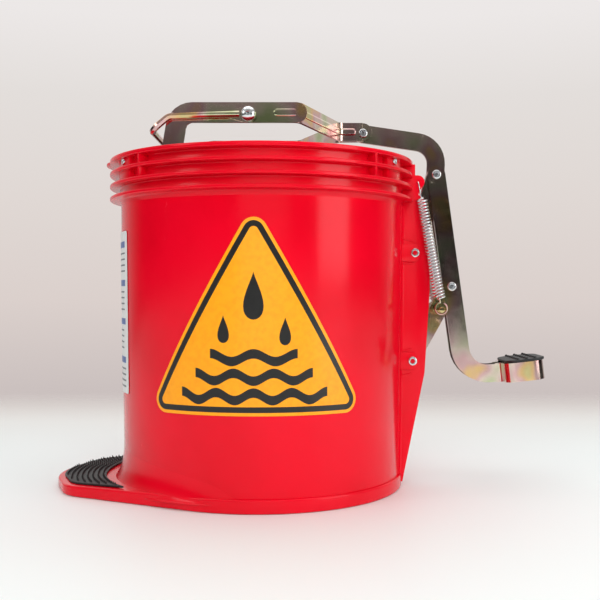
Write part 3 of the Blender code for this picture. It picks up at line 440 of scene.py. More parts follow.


# what the camera sees, by height: the backdrop's colour, darker lower down as painted shade; and how bright
# the air is behind and above
air = {"seen": ((0.03, (0.591, 0.527, 0.515)), (0.264, (0.708, 0.631, 0.604)), (0.52, (0.745, 0.686, 0.658)),
                (0.776, (0.768, 0.730, 0.708)), (0.967, (0.84, 0.807, 0.799))), "height": (-0.12, 0.3),
       "back": (0.25, 0.85), "backLight": (0.0, 0.6), "above": (0.12, 0.28), "aboveLight": (0.008, 0.42),
       "tint": (1.0, 0.97, 0.95, 1)}


def makeWorld():
    world = bpy.data.worlds.new("studioAir")
    scene.world = world
    world.use_nodes = True
    tree = world.node_tree
    tree.nodes.clear()
    place = addNode(tree, "ShaderNodeTexCoord").outputs["Generated"]
    apart = addNode(tree, "ShaderNodeSeparateXYZ", {"Vector": place}).outputs
    # painted shade: the backdrop shown to the camera darkens lower down
    seen = ramp(tree, mapRange(tree, apart["Z"], air["height"]), air["seen"])
    back = mapRange(tree, apart["Y"], air["back"], air["backLight"], interpolation_type="SMOOTHSTEP")
    above = mapRange(tree, apart["Z"], air["above"], air["aboveLight"])
    light = calculate(tree, "ADD", back, above)
    cameraRay = addNode(tree, "ShaderNodeLightPath").outputs["Is Camera Ray"]
    shown = addNode(tree, "ShaderNodeBackground", {"Color": seen, "Strength": 1.0})
    lit = addNode(tree, "ShaderNodeBackground", {"Color": air["tint"], "Strength": light})
    mix = addNode(tree, "ShaderNodeMixShader", {0: cameraRay, 1: lit.outputs[0], 2: shown.outputs[0]})
    output = tree.nodes.new("ShaderNodeOutputWorld")
    tree.links.new(mix.outputs[0], output.inputs["Surface"])


softboxes = {
    "keyRight": {"at": (1.35, -0.85, 0.55), "size": (0.75, 0.9), "power": 7},
    "keyLeft": {"at": (-1.35, -0.95, 0.95), "size": (0.5, 0.6), "power": 3},
    "overhead": {"at": (0.0, 0.1, 1.9), "size": (2.4, 2.0), "power": 19},
    "frontFill": {"at": (0.1, -2.1, 0.75), "size": (1.5, 1.1), "power": 21},
}


def makeSoftboxes():
    aim = Vector((0, 0, 0.2))
    for name, box in softboxes.items():
        lamp = bpy.data.lights.new(name, "AREA")
        lamp.shape = "RECTANGLE"
        lamp.size, lamp.size_y = box["size"]
        lamp.energy = box["power"]
        lamp.color = (1.0, 0.985, 0.975)
        obj = bpy.data.objects.new(name, lamp)
        obj.location = box["at"]
        obj.rotation_euler = (aim - obj.location).to_track_quat("-Z", "Y").to_euler()
        obj.visible_glossy = name != "frontFill"
        scene.collection.objects.link(obj)


view = {"lens": 54.5, "sensor": 36, "at": (0.0395, -0.9536, 0.1995), "tilt": 0.0093}


def makeCamera():
    lens = bpy.data.cameras.new("studioCamera")
    lens.lens = view["lens"]
    lens.sensor_width = view["sensor"]
    camera = bpy.data.objects.new("studioCamera", lens)
    camera.location = view["at"]
    camera.rotation_euler = (pi / 2 - view["tilt"], 0, 0)
    scene.collection.objects.link(camera)
    scene.camera = camera


makeStudio()
makeWorld()
makeSoftboxes()
makeCamera()
print("studio ready")


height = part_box("bucket_body")[1].z
shell = {"topR": 0.1452, "footR": 0.1422, "wall": 0.003, "collarR": 0.146, "ringR": 0.1565, "ringT": 0.0034,
         "rimT": 0.0042, "pitch": 0.0124, "flangeR": 0.1449, "flangeH": 0.0132, "floorT": 0.004,
         "recessR": 0.0016, "edgeR": 0.0011, "steps": 192}
ringTops = [height - shell["rimT"] / 2 - shell["pitch"] * i + shell["ringT"] / 2 for i in (1, 2, 3)]
bodyTop = ringTops[-1] - shell["ringT"] - 0.0055
innerTop = shell["collarR"] - shell["wall"] - 0.0004


def bodyRadius(z):
    return shell["footR"] + (shell["topR"] - shell["footR"]) * z / bodyTop


def shellProfile():
    s = shell
    recess, edge = s["recessR"], s["edgeR"]
    outer = [(innerTop, height, 0.0007), (s["ringR"], height, 0.0012),
             (s["ringR"], height - s["rimT"], 0.0009), (s["collarR"], height - s["rimT"], recess)]
    for top in ringTops:
        outer += [(s["collarR"], top, recess), (s["ringR"], top, edge), (s["ringR"], top - s["ringT"], edge)]
        if top is not ringTops[-1]:
            outer.append((s["collarR"], top - s["ringT"], recess))
    outer += [(s["collarR"] + 0.0004, ringTops[-1] - s["ringT"] - 0.0004, 0.0022),
              (s["topR"], bodyTop, 0.004), (s["footR"], 0.0, 0.001), (0, 0, 0)]
    inner = [(0, s["floorT"], 0), (s["footR"] - s["wall"], s["floorT"], 0.005),
             (s["topR"] - s["wall"], bodyTop, 0.01)]
    points = outer + inner
    whole = roundCorners([(r, z) for r, z, _ in points], [p[2] for p in points], 4)
    start = next(i for i, p in enumerate(whole) if p.x == 0 and p.y == 0)
    return whole[start + 1:] + whole[:start + 1]


footPlate = {"azimuth": radians(118.3), "cornerX": -0.191, "cornerY": 0.068, "cornerR": 0.04,
             "tipX": -0.2127, "tipR": 0.08, "fall": radians(1.95), "fallX": -0.1, "fillet": 0.0165,
             "filletH": 0.032}


def footOutline(inset=0.0, steps=108):
    f = footPlate
    radius = shell["flangeR"] - inset
    angles = [f["azimuth"] - 2 * f["azimuth"] * i / steps for i in range(steps + 1)]
    around = [Vector((radius * cos(a), radius * sin(a))) for a in angles]
    halfTip = atan2(f["cornerY"], f["cornerX"] - f["tipX"] + 0.003)
    tipX = f["tipX"] - f["tipR"] * (1 / sin(halfTip) - 1)
    cornerX, cornerY = f["cornerX"] + inset, f["cornerY"] - inset * 0.7
    tip = [around[-1], (cornerX, -cornerY), (tipX + inset, 0), (cornerX, cornerY), around[0]]
    radii = [0, f["cornerR"] - inset, f["tipR"] - inset, f["cornerR"] - inset, 0]
    return around[:-1] + roundCorners(tip, radii, 12)[:-1]


def plateTop(x):
    f = footPlate
    return shell["flangeH"] - max(0.0, f["fallX"] - x) * sin(f["fall"])


def footPlateShape():
    outline = footOutline()
    work = bmesh.new()
    outer = [work.verts.new((p.x, p.y, 0)) for p in outline]
    innerR = shell["footR"] - shell["wall"] / 2
    inner = [work.verts.new((innerR * p.x / p.length, innerR * p.y / p.length, 0)) for p in outline]
    count = len(outline)
    rings = []
    for loop in (outer, inner):
        rings += [work.edges.new((loop[i], loop[(i + 1) % count])) for i in range(count)]
    faces = bmesh.ops.bridge_loops(work, edges=rings)["faces"]
    grown = bmesh.ops.extrude_face_region(work, geom=faces)
    for vert in vertsOf(grown):
        vert.co.z = plateTop(vert.co.x)
    bmesh.ops.recalc_face_normals(work, faces=work.faces)
    edge = [e for e in sharpEdges(work, 60) if min(v.co.xy.length for v in e.verts) > innerR + 0.001]
    bevelEdges(work, edge, 0.0019, 4)
    return work


def filletShape():
    f = footPlate
    work = bmesh.new()
    bmesh.ops.create_grid(work, x_segments=72, y_segments=12, size=1)
    for vert in work.verts:
        swing, t = vert.co.x * radians(88), (vert.co.y + 1) / 2
        curve = t * pi / 2
        reach = (f["fillet"] * (1 - sin(curve)) + 0.0006) * cos(swing) ** 1.3 - 0.0006
        z = shell["flangeH"] - 0.006 + (f["filletH"] + 0.006) * (1 - cos(curve))
        radius = bodyRadius(z) + reach
        vert.co = (-radius * cos(swing), radius * sin(swing), z)
    bmesh.ops.recalc_face_normals(work, faces=work.faces)
    outward = sum((face.normal.dot(face.calc_center_median()) for face in work.faces))
    if outward < 0:
        bmesh.ops.reverse_faces(work, faces=work.faces)
    bmesh.ops.solidify(work, geom=work.faces, thickness=0.001)
    return work


pivots = {"A": (0.1573, 0.2392), "B": (0.1549, 0.1283)}
column = {"inner": 0.0168, "outer": 0.02, "tabFace": 0.0225, "lipX": 0.1578, "earR": 0.0068}
tabRibs = {"A": ((0.0141, 14), (-0.0104, 3)), "B": ((0.0103, -14), (-0.0152, -17))}


def columnOutline():
    earX, earZ = shell["topR"] + 0.0155, height - 0.0201
    a, b = pivots["A"], pivots["B"]
    points = [(shell["flangeR"], 0.004), (b[0] + 0.0128, b[1] - 0.0123), (a[0] + 0.016, a[1] - 0.0332),
              (shell["topR"] + 0.0231, ringTops[-1] - 0.0035),
              (earX + 0.0005, earZ - column["earR"] - 0.006)]
    ear = [(earX + column["earR"] * cos(t), earZ + column["earR"] * sin(t))
           for t in (radians(-50 + 140 * i / 10) for i in range(11))]
    top = [(column["lipX"], earZ + column["earR"]), (column["lipX"], height - 0.0021)]
    root = [(shell["topR"] - 0.0026, height - 0.0021), (shell["footR"] - 0.0026, 0.004)]
    everything = points + ear + top + root
    radii = [0, 0.03, 0.12, 0.006, 0] + [0] * (len(everything) - 5)
    return roundCorners(everything, radii, 8)


def columnShapes():
    shapes = []
    for _, side in sides:
        low, high = sorted((side * column["inner"], side * column["outer"]))
        shapes.append(prism(columnOutline(), low, high, 0.0005, 2, upright=True))
        for name in "AB":
            px, pz = pivots[name]
            tip = [(px + 0.0062 * sin(pi * i / 12), pz + 0.009 * cos(pi * i / 12)) for i in range(13)]
            outline = tip + [(px - 0.0155, pz - 0.009), (px - 0.0155, pz + 0.009)]
            low, high = sorted((side * (column["outer"] - 0.0006), side * column["tabFace"]))
            shapes.append(prism(outline, low, high, 0.0006, 3, upright=True))
            for rise, slope in tabRibs[name]:
                turn = (Matrix.Translation((px - 0.0095, side * column["outer"], pz + rise))
                        @ Matrix.Rotation(radians(slope), 4, "Y"))
                shapes.append(block((0.018, 0.0036, 0.0016), turn, 0.0005))
        # the concave corner between the body and the column's wall
        rootX = sqrt(shell["topR"] ** 2 - column["outer"] ** 2)
        start = atan2(column["outer"] + 0.0085, rootX - 0.001)
        edge = shell["topR"] + 0.0005
        a = Vector((edge * cos(start), edge * sin(start)))
        b, c = Vector((rootX, column["outer"])), Vector((rootX + 0.0045, column["outer"] - 0.0004))
        curve = [a * (1 - t) ** 2 + b * 2 * t * (1 - t) + c * t ** 2 for t in (i / 8 for i in range(9))]
        outline = curve + [Vector((rootX, column["outer"] - 0.0015)),
                           Vector((rootX - 0.0018, column["outer"])), a - Vector((0.0012, 0))]
        strip = prism([(p.x, side * p.y) for p in outline], 0.012, bodyTop + 0.002)
        for vert in strip.verts:
            vert.co.x -= (shell["topR"] - bodyRadius(vert.co.z))
        shapes.append(strip)
    return shapes


pads = {"azimuth": radians(30), "proud": 0.0045, "half": 0.0148, "sunk": 0.6, "ribAzimuth": radians(44.6),
        "ribT": 0.0024, "lipR": (0, 0.03, 0.012, 0.03, 0), "lipIn": 0.0006,
        "lip": ((-0.1505, -0.034), (-0.16035, -0.015), (-0.162, 0), (-0.16035, 0.015), (-0.1505, 0.034))}


def padShapes():
    low, high = ringTops[1] - shell["ringT"] / 2, height - shell["rimT"] / 2
    sunk = shell["wall"] * pads["sunk"]
    pad = (pads["azimuth"], shell["collarR"] + (pads["proud"] - sunk) / 2,
           (pads["proud"] + sunk, 2 * pads["half"], high - low), 0.0004)
    rib = (pads["ribAzimuth"], (shell["collarR"] + shell["ringR"] - 0.0025) / 2,
           (shell["ringR"] + 0.0005 - shell["collarR"], pads["ribT"], high - low), 0.0003)
    shapes = []
    for _, side in sides:
        for end in (-1, 1):
            for azimuth, middle, size, edge in (pad, rib):
                around = atan2(side * sin(azimuth), end * cos(azimuth))
                turn = Matrix.Rotation(around, 4, "Z") @ Matrix.Translation((middle, 0, (low + high) / 2))
                shapes.append(block(size, turn, edge))
    lip = roundCorners(pads["lip"], pads["lipR"], 6)
    shapes.append(prism(lip, height - shell["rimT"] + pads["lipIn"], height - pads["lipIn"], 0.0006))
    return shapes


body = spun(shellProfile(), shell["steps"])
bucketWork = joinShapes([body, footPlateShape(), filletShape()] + columnShapes() + padShapes())
finish("bucketShell", bucketWork, red, "bucket", ["bucket_body"], smooth=35,
       recalc=False)
print("bucket shell ready")


# drops: x, z, size; waves: x, z, half width, rise, thickness, crests
sign = {"x": -0.0018, "low": 0.088, "high": 0.2785, "half": 0.1105, "corner": 0.0125, "stand": 0.0006,
        "border": 0.003, "band": 0.0052, "layer": 0.00012, "ink": 0.00016,
        "drops": ((-0.002, 0.196, 0.0215), (-0.0295, 0.166, 0.0125), (0.0265, 0.164, 0.0125)),
        "waves": ((-0.002, 0.1405, 0.040, 0.0035, 0.0085, 2), (-0.002, 0.1230, 0.0545, 0.0035, 0.0085, 3),
                  (-0.002, 0.1055, 0.0690, 0.0035, 0.0085, 4))}


def wrapFilm(outline, stand, thickness=0.0002, across=48):
    work = bmesh.new()
    work.faces.new([work.verts.new((p[0], 0, p[1])) for p in outline])
    lows, highs = min(p[0] for p in outline), max(p[0] for p in outline)
    for i in range(1, across):
        cut = lows + (highs - lows) * i / across
        bmesh.ops.bisect_plane(work, geom=work.verts[:] + work.edges[:] + work.faces[:], dist=1e-7,
                               plane_co=(cut, 0, 0), plane_no=(1, 0, 0))
    grown = bmesh.ops.extrude_face_region(work, geom=work.faces[:])
    outside = set(vertsOf(grown))
    for vert in work.verts:
        radius = bodyRadius(vert.co.z) + stand + (thickness if vert in outside else 0)
        angle = vert.co.x / shell["topR"]
        vert.co = (radius * sin(angle), -radius * cos(angle), vert.co.z)
    bmesh.ops.recalc_face_normals(work, faces=work.faces)
    return work


def signOutline(inset):
    half, low, high = sign["half"], sign["low"], sign["high"]
    slope = sqrt(half ** 2 + (high - low) ** 2)
    tipDrop = inset * slope / half
    side = inset * (slope + half) / (high - low)
    corners = [(sign["x"] - half + side, low + inset), (sign["x"] + half - side, low + inset),
               (sign["x"], high - tipDrop)]
    return roundCorners(corners, [sign["corner"] - inset] * 3, 10)


def dropOutline(x, z, size, steps=28):
    angles = [2 * pi * i / steps for i in range(steps)]
    return [(x + sin(t) * sin(t / 2) ** 1.6 * size * 0.62, z + cos(t) * size) for t in angles]


def waveOutline(x, z, half, rise, thick, turns, steps=60):
    top = [(x - half + 2 * half * i / steps, z + rise * cos(2 * pi * turns * i / steps) + thick / 2)
           for i in range(steps + 1)]
    return top + [(px, pz - thick) for px, pz in reversed(top)]


def makeSign():
    layers = (("signBorder", 0, amberInk), ("signBand", sign["border"], blackInk),
              ("signField", sign["border"] + sign["band"], amberInk))
    for level, (name, inset, ink) in enumerate(layers):
        work = wrapFilm(signOutline(inset), sign["stand"] + level * sign["layer"], sign["ink"])
        replaced = [] if level else ["floor_sign"]
        finish(name, work, ink, "bucket", replaced, smooth=30)
    stand = sign["stand"] + len(layers) * sign["layer"]
    marks = [dropOutline(*drop) for drop in sign["drops"]] + [waveOutline(*wave) for wave in sign["waves"]]
    work = joinShapes([wrapFilm(outline, stand, sign["ink"]) for outline in marks])
    finish("signMarks", work, blackInk, "bucket", [], smooth=30)


info = {"low": 0.099, "high": 0.259, "spread": radians(27), "corner": 0.003, "parts": 4, "partPitch": 0.038,
        "margin": 0.010, "reach": 0.026, "ragged": 0.007, "titleH": 0.006, "rows": 4, "rowDrop": 0.011,
        "rowPitch": 0.0058, "rowT": 0.0015, "stand": 0.00025, "ink": 0.00012}


def makeInfoLabel():
    def around(work):
        turn = Matrix.Rotation(-pi / 2, 3, "Z")
        bmesh.ops.rotate(work, verts=work.verts, cent=(0, 0, 0), matrix=turn)
        return work

    half = info["spread"] * shell["topR"]
    corners = rectangle(-half, half, info["low"], info["high"])
    sheet = around(wrapFilm(roundCorners(corners, [info["corner"]] * 4, 4), sign["stand"], 0.0002, 32))
    finish("infoSheet", sheet, whiteFilm, "bucket", ["info_label"], smooth=30)
    bars, titles = [], []
    for across in (-1, 1):
        for part in range(info["parts"]):
            top = info["high"] - info["margin"] - part * info["partPitch"]
            middle = across * half * 0.5
            left = middle - info["reach"]
            titles.append(rectangle(left, middle + info["reach"], top - info["titleH"], top))
            for row in range(info["rows"]):
                z = top - info["rowDrop"] - row * info["rowPitch"]
                reach = info["reach"] - info["ragged"] * ((row * 3 + part) % 3) / 2
                bars.append(rectangle(left, middle + reach, z - info["rowT"], z))
    stand = sign["stand"] + info["stand"]
    for name, outlines, ink in (("infoLines", bars, greyInk), ("infoTitles", titles, blueInk)):
        work = joinShapes([wrapFilm(outline, stand, info["ink"], 12) for outline in outlines])
        finish(name, around(work), ink, "bucket", [], smooth=30)


makeSign()
makeInfoLabel()
print("films ready")


def camelName(node):
    words = node.split("_")
    return words[0] + "".join(word.title() for word in words[1:])


# a plain solid with its doubles merged, its flats dissolved and its edges rounded
def refined(node, name, material, body, width=0.0008, segments=3, fold=30):
    source = frame["nodes"][node]
    work = bmesh.new()
    work.from_mesh(source.data)
    bmesh.ops.transform(work, matrix=source.matrix_world, verts=work.verts)
    bmesh.ops.remove_doubles(work, verts=work.verts, dist=2e-6)
    bmesh.ops.dissolve_limit(work, angle_limit=radians(0.7), verts=work.verts, edges=work.edges,
                             use_dissolve_boundaries=False, delimit=set())
    if width:
        bevelEdges(work, sharpEdges(work, fold), width, segments)
        bmesh.ops.remove_doubles(work, verts=work.verts, dist=2e-6)
    bmesh.ops.triangulate(work, faces=[face for face in work.faces if len(face.verts) > 4])
    return finish(name, work, material, body, [node], smooth=42, weighted=True, recalc=False)


strips = {"pull_frame": ["frame_arm_near", "frame_arm_far"],
          "upper_crank": ["upper_crank_near", "upper_crank_far"],
          "lower_crank": ["lower_crank_near", "lower_crank_far"],
          "top_link": ["top_link"], "pedal": ["pedal_strip"], "bucket": ["side_rail_near", "side_rail_far"]}
for bodyName, nodes in strips.items():
    for node in nodes:
        refined(node, camelName(node), yellowZinc, bodyName)


bead = {"outerY": 0.1095, "startX": 0.0145, "bendX": 0.0397, "bendR": 0.0105, "tipX": 0.081, "tipR": 0.0075,
        "tipY": 0.0054, "endX": 0.0985, "z": 0.3658, "half": 0.0042, "flat": 0.0024, "proud": 0.0011,
        "lowProud": 0.0005, "lowTo": 0.046, "lowOver": 0.01, "sunk": 0.0003, "rows": 14}


def makeBead(sideName, side):
    b = bead
    plan = roundCorners([(b["startX"], side * b["outerY"], 0), (b["bendX"], side * b["outerY"], 0),
                         (b["tipX"], side * b["tipY"], 0), (b["endX"], side * b["tipY"], 0)],
                        [0, b["bendR"], b["tipR"], 0], 10)
    rows = b["rows"]
    lengths = [0.0]
    for before, after in zip(plan, plan[1:]):
        lengths.append(lengths[-1] + (after - before).length)
    stations = sorted(set(lengths + [b["half"] * i / 6 for i in range(7)]
                          + [lengths[-1] - b["half"] * i / 6 for i in range(7)]))
    work = bmesh.new()
    grid = []
    for reach in stations:
        i = max(j for j in range(len(plan) - 1) if lengths[j] <= reach + 1e-9)
        share = (reach - lengths[i]) / (lengths[i + 1] - lengths[i])
        at = plan[i].lerp(plan[i + 1], share)
        along = (plan[min(i + 1, len(plan) - 1)] - plan[i]).normalized()
        if share > 0.999 and i + 2 < len(plan):
            along = (plan[i + 2] - plan[i]).normalized()
        out = Vector((along.y, -along.x, 0)) * -side
        toEnd = min(reach, lengths[-1] - reach)
        # lower where the bail's arm swings past
        share = min(1.0, max(0.0, (at.x - b["lowTo"]) / b["lowOver"]))
        proud = b["lowProud"] + (b["proud"] - b["lowProud"]) * share
        row = []
        for j in range(rows + 1):
            z = b["half"] * (2 * j / rows - 1)
            cornered = max(0.0, b["half"] - toEnd)
            spread = sqrt(z * z + cornered * cornered)
            t = min(1.0, max(0.0, (spread - b["flat"]) / (b["half"] - b["flat"])))
            lift = proud - (proud + b["sunk"]) * (3 * t * t - 2 * t ** 3)
            row.append(work.verts.new((*(at + out * lift).xy, b["z"] + z)))
        grid.append(row)
    for a, c in zip(grid, grid[1:]):
        for j in range(rows):
            work.faces.new((a[j], c[j], c[j + 1], a[j + 1]))
    bmesh.ops.recalc_face_normals(work, faces=work.faces)
    if sum(face.normal.y * face.calc_area() for face in work.faces) * side < 0:
        bmesh.ops.reverse_faces(work, faces=work.faces)
    bmesh.ops.solidify(work, geom=work.faces, thickness=0.0002)
    finish("frameBead" + sideName.title(), work, yellowZinc, "pull_frame", [], smooth=50)


for sideName, side in sides:
    makeBead(sideName, side)
print("strips ready")


rivet = {"stemR": 0.0027, "headR": 0.0047, "headT": 0.0016, "holeR": 0.0021, "holeDepth": 0.0022}


def rivetProfile(half):
    top = half - rivet["headT"]
    floor = top - rivet["holeDepth"]
    end = [(0, floor), (rivet["holeR"] - 0.0004, floor), (rivet["holeR"], top - 0.0016),
           (rivet["holeR"] + 0.0001, half - 0.0006), (rivet["holeR"] + 0.0005, half - 0.0001)]
    end += [(rivet["headR"] - 0.0016 + 0.0016 * sin(t), half - 0.0011 + 0.0011 * cos(t))
            for t in (pi / 2 * i / 6 for i in range(7))]
    end += [(rivet["headR"], top + 0.0002), (rivet["headR"] - 0.0002, top), (rivet["stemR"], top)]
    return end + [(r, -z) for r, z in reversed(end)]


rivets = {"upper_pivot_rivet": "bucket", "lower_pivot_rivet": "bucket", "pedal_top_rivet": "pedal",
          "pedal_mid_rivet": "lower_crank", "frame_rivet": "pull_frame"}
for node, bodyName in rivets.items():
    low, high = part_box(node)
    work = turnOnto(spun(rivetProfile((high.y - low.y) / 2), 40), middleOf(node))
    finish(node.title().replace("_", ""), work, brightZinc, bodyName, [node])

dome = {"r": 0.007, "h": 0.0046, "brim": 0.0008, "flatAngle": 22}
domeAngles = [radians(dome["flatAngle"] + (90 - dome["flatAngle"]) * i / 10) for i in range(11)]
for sideName, side in sides:
    node = "bail_rivet_" + sideName
    low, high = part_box(node)
    length = high.y - low.y
    seat = length - dome["h"] - dome["brim"]
    cap = [(0, length - 0.0012), (0.0012, length - 0.0011), (0.0021, length - 0.0002)]
    cap += [(dome["r"] * sin(t), seat + dome["brim"] + dome["h"] * cos(t)) for t in domeAngles]
    cap += [(dome["r"], seat), (rivet["stemR"], seat), (rivet["stemR"], 0.0014), (rivet["headR"], 0.0014),
            (rivet["headR"] - 0.0008, 0), (0, 0)]
    middle = middleOf(node)
    foot = Vector((middle.x, high.y if side < 0 else low.y, middle.z))
    work = turnOnto(spun(cap, 40), foot, side)
    finish("BailRivet" + sideName.title(), work, brightZinc, "pull_frame", [node])


def addFastener(node, bodyName, width=0.0003):
    refined(node, camelName(node), brightZinc, bodyName, width, 2)


for level in ("upper", "lower"):
    addFastener("fixed_axle_" + level, "bucket", 0)
    addFastener("moving_axle_" + level, "pull_frame", 0)
    for sideName, _ in sides:
        addFastener(f"pivot_bush_{level}_{sideName}", "bucket", 0)
        addFastener(f"axle_cap_{level}_{sideName}", "pull_frame")
for endName in ("front", "rear"):
    for sideName, _ in sides:
        addFastener(f"frame_screw_{endName}_{sideName}", "bucket")
        addFastener(f"frame_nut_{endName}_{sideName}", "bucket")
print("fasteners ready")


roller = {"r": 0.0165, "bore": 0.00435, "hubR": 0.009, "hubReach": 0.0037, "edge": 0.0015, "grooves": 5,
          "grooveDepth": 0.0008, "grooveTop": 0.0012, "grooveFloor": 0.0006}


def rollerProfile(half):
    r, rim = roller["r"], roller["r"] - roller["edge"]
    deep, top, floor = r - roller["grooveDepth"], roller["grooveTop"], roller["grooveFloor"]
    face = half - roller["hubReach"]
    profile = [(roller["bore"], half), (roller["hubR"], half), (roller["hubR"], face), (rim, face)]
    profile += [(r - 0.0004, face - 0.0004), (r, face - roller["edge"])]
    for i in range(roller["grooves"]):
        at = face * (1 - 2 * (i + 1) / (roller["grooves"] + 1))
        profile += [(r, at + top), (deep, at + floor), (deep, at - floor), (r, at - top)]
    profile += [(r, roller["edge"] - face), (r - 0.0004, 0.0004 - face), (rim, -face),
                (roller["hubR"], -face), (roller["hubR"], -half), (roller["bore"], -half)]
    return profile


for kind in ("fixed", "moving"):
    for level in ("upper", "lower"):
        node = f"{kind}_roller_{level}"
        low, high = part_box(node)
        work = turnOnto(spun(rollerProfile((high.y - low.y) / 2), 56, closed=True), middleOf(node))
        finish(camelName(node), work, rollerGrey, node, [node])
print("rollers ready")


def tube(path, radius, sidesCount=14):
    data = bpy.data.curves.new("tubePath", "CURVE")
    data.dimensions = "3D"
    data.bevel_depth = radius
    data.bevel_resolution = max(1, sidesCount // 4)
    data.use_fill_caps = True
    line = data.splines.new("POLY")
    line.points.add(len(path) - 1)
    for point, at in zip(line.points, path):
        point.co = (*at, 1)
    holder = bpy.data.objects.new("tubePath", data)
    scene.collection.objects.link(holder)
    bpy.context.view_layer.update()
    mesh = bpy.data.meshes.new_from_object(holder.evaluated_get(bpy.context.evaluated_depsgraph_get()))
    bpy.data.objects.remove(holder, do_unlink=True)
    work = bmesh.new()
    work.from_mesh(mesh)
    bpy.data.meshes.remove(mesh)
    bmesh.ops.remove_doubles(work, verts=work.verts, dist=1e-6)
    bmesh.ops.recalc_face_normals(work, faces=work.faces)
    return work


refined("bail", "carryingBail", yellowZinc, "bail", 0.0005, 2, 50)
print("bail ready")


spring = {"r": 0.0062, "wire": 0.0009, "turns": 34, "perTurn": 14, "coilFrom": 0.0165, "coilTo": 0.0135,
          "lap": 0.0045, "earX": 0.1598, "earY": 0.0265, "earZ": 0.3116, "loopR": 0.0059,
          "gap": radians(35)}
joints = {joint["name"]: joint for joint in frame["joints"]}


def springAxis():
    down = Vector(joints["spring_draw_near"]["axis"]).normalized()
    across = Vector((0, 1, 0))
    return down, across, down.cross(across)


def makeSpring(sideName, side):
    down, across, aside = springAxis()
    low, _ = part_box("spring_hook_" + sideName)
    top = Vector((spring["earX"], side * spring["earY"], spring["earZ"]))
    span = (top.z - (low.z + spring["loopR"] + spring["wire"])) / -down.z
    start, stop = spring["coilFrom"], span - spring["coilTo"] + spring["lap"]
    mid = spring["r"] - spring["wire"]
    count = spring["turns"] * spring["perTurn"]
    path = [top + across * -side * 0.006, top + across * -side * 0.003]
    path += [top + down * 0.001, top + down * 0.006, top + down * (start - 0.004)]
    for i in range(count + 1):
        t = i / count
        turn = 2 * pi * spring["turns"] * t
        ease = min(1.0, i / 10, (count - i) / 10)
        ring = (across * cos(turn) + aside * sin(turn)) * (mid * max(0.12, ease))
        path.append(top + down * (start + (stop - start) * t) + ring)
    work = tube(path, spring["wire"], 8)
    name = "springCoil" + sideName.title()
    piece = finish(name, work, brightZinc, None, [], smooth=60)
    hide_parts("spring_coil_" + sideName)
    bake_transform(piece)
    centre = top + down * span
    # the open loop, and its shank up into the coil
    gap = spring["gap"]
    ringPath = []
    for i in range(29):
        angle = gap + (2 * pi - gap) * i / 28
        at = centre + (-down) * (spring["loopR"] * cos(angle)) + aside * (spring["loopR"] * sin(angle))
        ringPath.append(at)
    shank = [centre - down * (spring["loopR"] + 0.001), centre - down * 0.012, centre - down * 0.032]
    work = tube(ringPath + shank, spring["wire"] * 1.1, 10)
    finish("springHook" + sideName.title(), work, hookZinc, "spring_hook_" + sideName,
           ["spring_hook_" + sideName], smooth=60)


for sideName, side in sides:
    makeSpring(sideName, side)
refined("spring_pin", "springPin", yellowZinc, "lower_crank", 0)
print("springs ready")


def stud(at, radius, tall, up, sidesCount=8, point=0.35):
    work = bmesh.new()
    bmesh.ops.create_cone(work, cap_ends=True, segments=sidesCount, radius1=radius, radius2=radius * point,
                          depth=tall)
    bmesh.ops.translate(work, verts=work.verts, vec=(0, 0, tall / 2 - 0.0003))
    turn = Vector((0, 0, 1)).rotation_difference(up).to_matrix()
    bmesh.ops.rotate(work, verts=work.verts, cent=(0, 0, 0), matrix=turn)
    bmesh.ops.translate(work, verts=work.verts, vec=at)
    return work


def inside(point, outline):
    hit = False
    for a, b in zip(outline, outline[1:] + outline[:1]):
        if (a.y > point.y) != (b.y > point.y):
            if point.x < (b.x - a.x) * (point.y - a.y) / (b.y - a.y) + a.x:
                hit = not hit
    return hit


footGrip = {"inset": 0.0065, "gap": 0.0018, "stand": 0.0003, "thick": 0.0020, "studR": 0.0012,
            "studH": 0.0027, "studInset": 0.0022, "pitch": 0.0052, "firstRow": 0.003, "halfSweep": 1.1}


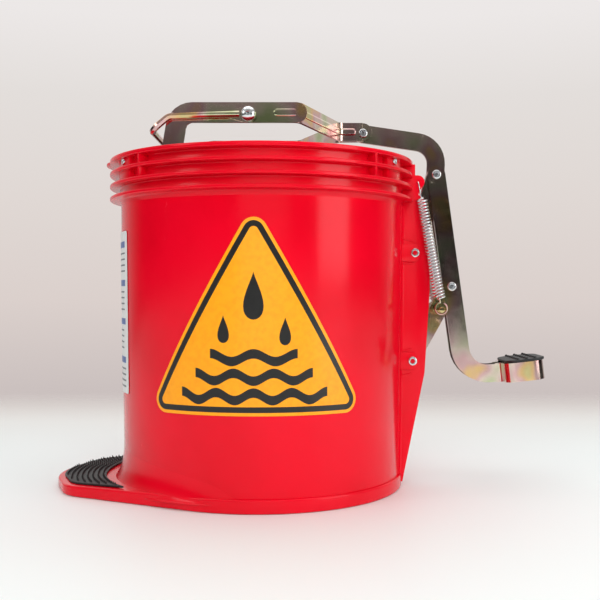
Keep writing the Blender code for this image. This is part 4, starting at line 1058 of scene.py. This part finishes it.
def makeFootGrip():
    centre = Vector((-footPlate["fillet"], 0))

    def outlineAt(inset):
        radius = bodyRadius(shell["flangeH"]) + footGrip["gap"] + inset
        whole = footOutline(footGrip["inset"] + inset)
        edge = [p for p in whole if p.x < 0 and (p - centre).length > radius]
        edge.sort(key=lambda p: atan2(p.y, -p.x))
        rim = shell["flangeR"] - footGrip["inset"] - inset
        for side, at in ((-1, 0), (1, -1)):
            outside = edge[at]
            within = Vector((rim * cos(footPlate["azimuth"]), side * rim * sin(footPlate["azimuth"])))
            within = Vector((rim * cos(footPlate["azimuth"]), side * rim * sin(footPlate["azimuth"])))
            for _ in range(30):
                middle = (outside + within) / 2
                if (middle - centre).length > radius:
                    outside = middle
                else:
                    within = middle
            edge.insert(0 if side < 0 else len(edge), outside)
        low, high = (atan2(p.y, centre.x - p.x) for p in (edge[0], edge[-1]))
        arc = [centre + Vector((-radius * cos(a), radius * sin(a)))
               for a in (high + (low - high) * i / 28 for i in range(1, 28))]
        return edge + arc

    base = prism(outlineAt(0), 0, footGrip["thick"], 0.0005, 2)
    for vert in base.verts:
        vert.co.z += plateTop(vert.co.x) + footGrip["stand"]
    limit = outlineAt(footGrip["studInset"])
    shapes = [base]
    up = Vector((-sin(footPlate["fall"]), 0, cos(footPlate["fall"])))
    inner = bodyRadius(shell["flangeH"]) + footGrip["gap"]
    rings = int((-footPlate["tipX"] - inner) / footGrip["pitch"])
    for i in range(rings + 1):
        radius = inner + footGrip["firstRow"] + i * footGrip["pitch"]
        count = int(footGrip["halfSweep"] * radius / footGrip["pitch"])
        for j in range(-count, count + 1):
            angle = (j + 0.5 * (i % 2)) * footGrip["pitch"] / radius
            at = centre + Vector((-radius * cos(angle), radius * sin(angle)))
            if inside(at, limit):
                spot = Vector((at.x, at.y, plateTop(at.x) + footGrip["stand"] + footGrip["thick"]))
                shapes.append(stud(spot, footGrip["studR"], footGrip["studH"], up, 6, 0.25))
    print("foot grip studs:", len(shapes) - 1)
    finish("footGrip", joinShapes(shapes), rubber, "bucket", ["foot_grip"], smooth=30,
           recalc=False)


pedalGrip = {"seat": 0.0046, "thick": 0.0026, "rearR": 0.0123, "frontR": 0.0143, "plugTop": 0.004,
             "plugFoot": 0.0096, "plugInset": 0.006, "studInset": 0.003, "studR": 0.0018, "studH": 0.0019,
             "pitch": 0.0088, "slope": radians(6.5)}


def makePedalGrip():
    g = pedalGrip
    low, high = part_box("pedal_grip")
    source = frame["nodes"]["pedal_grip"]
    up = Vector((-sin(g["slope"]), 0, cos(g["slope"])))
    along = Vector((cos(g["slope"]), 0, sin(g["slope"])))
    spots = [source.matrix_world @ v.co for v in source.data.vertices]
    topLevel = max(p.dot(up) for p in spots)
    seat = topLevel - g["seat"]
    rear, front = (f(p.dot(along) for p in spots if p.dot(up) > seat) for f in (min, max))
    half = (high.y - low.y) / 2

    def outline(inset, rearR, frontR, steps=6):
        corners = rectangle(rear, front, -half, half, inset)
        return roundCorners(corners, [rearR, frontR, frontR, rearR], steps)

    base = prism(outline(0.0, g["rearR"], g["frontR"], 8), seat, seat + g["thick"], 0.0007, 3)
    plug = prism(outline(g["plugInset"], 0.006, 0.008), topLevel - g["plugFoot"], topLevel - g["plugTop"],
                 0.0004)
    shapes = [base, plug]
    rows, columns = int((front - rear) / g["pitch"]), int(2 * half / g["pitch"])
    limit = outline(g["studInset"], 0.009, 0.011)
    for i in range(rows + 1):
        for j in range(columns + 1):
            at = Vector(((rear + front) / 2 + (i - rows / 2) * g["pitch"], (j - columns / 2) * g["pitch"]))
            if inside(at, limit):
                spot = Vector((at.x, at.y, seat + g["thick"]))
                shapes.append(stud(spot, g["studR"], g["studH"], Vector((0, 0, 1)), 10, 0.6))
    work = joinShapes(shapes)
    turn = Matrix((along, (0, 1, 0), up)).transposed().to_4x4()
    bmesh.ops.transform(work, matrix=turn, verts=work.verts)
    finish("pedalGrip", work, rubber, "pedal", ["pedal_grip"], smooth=30, recalc=False)


makeFootGrip()
makePedalGrip()
print("rubber ready")
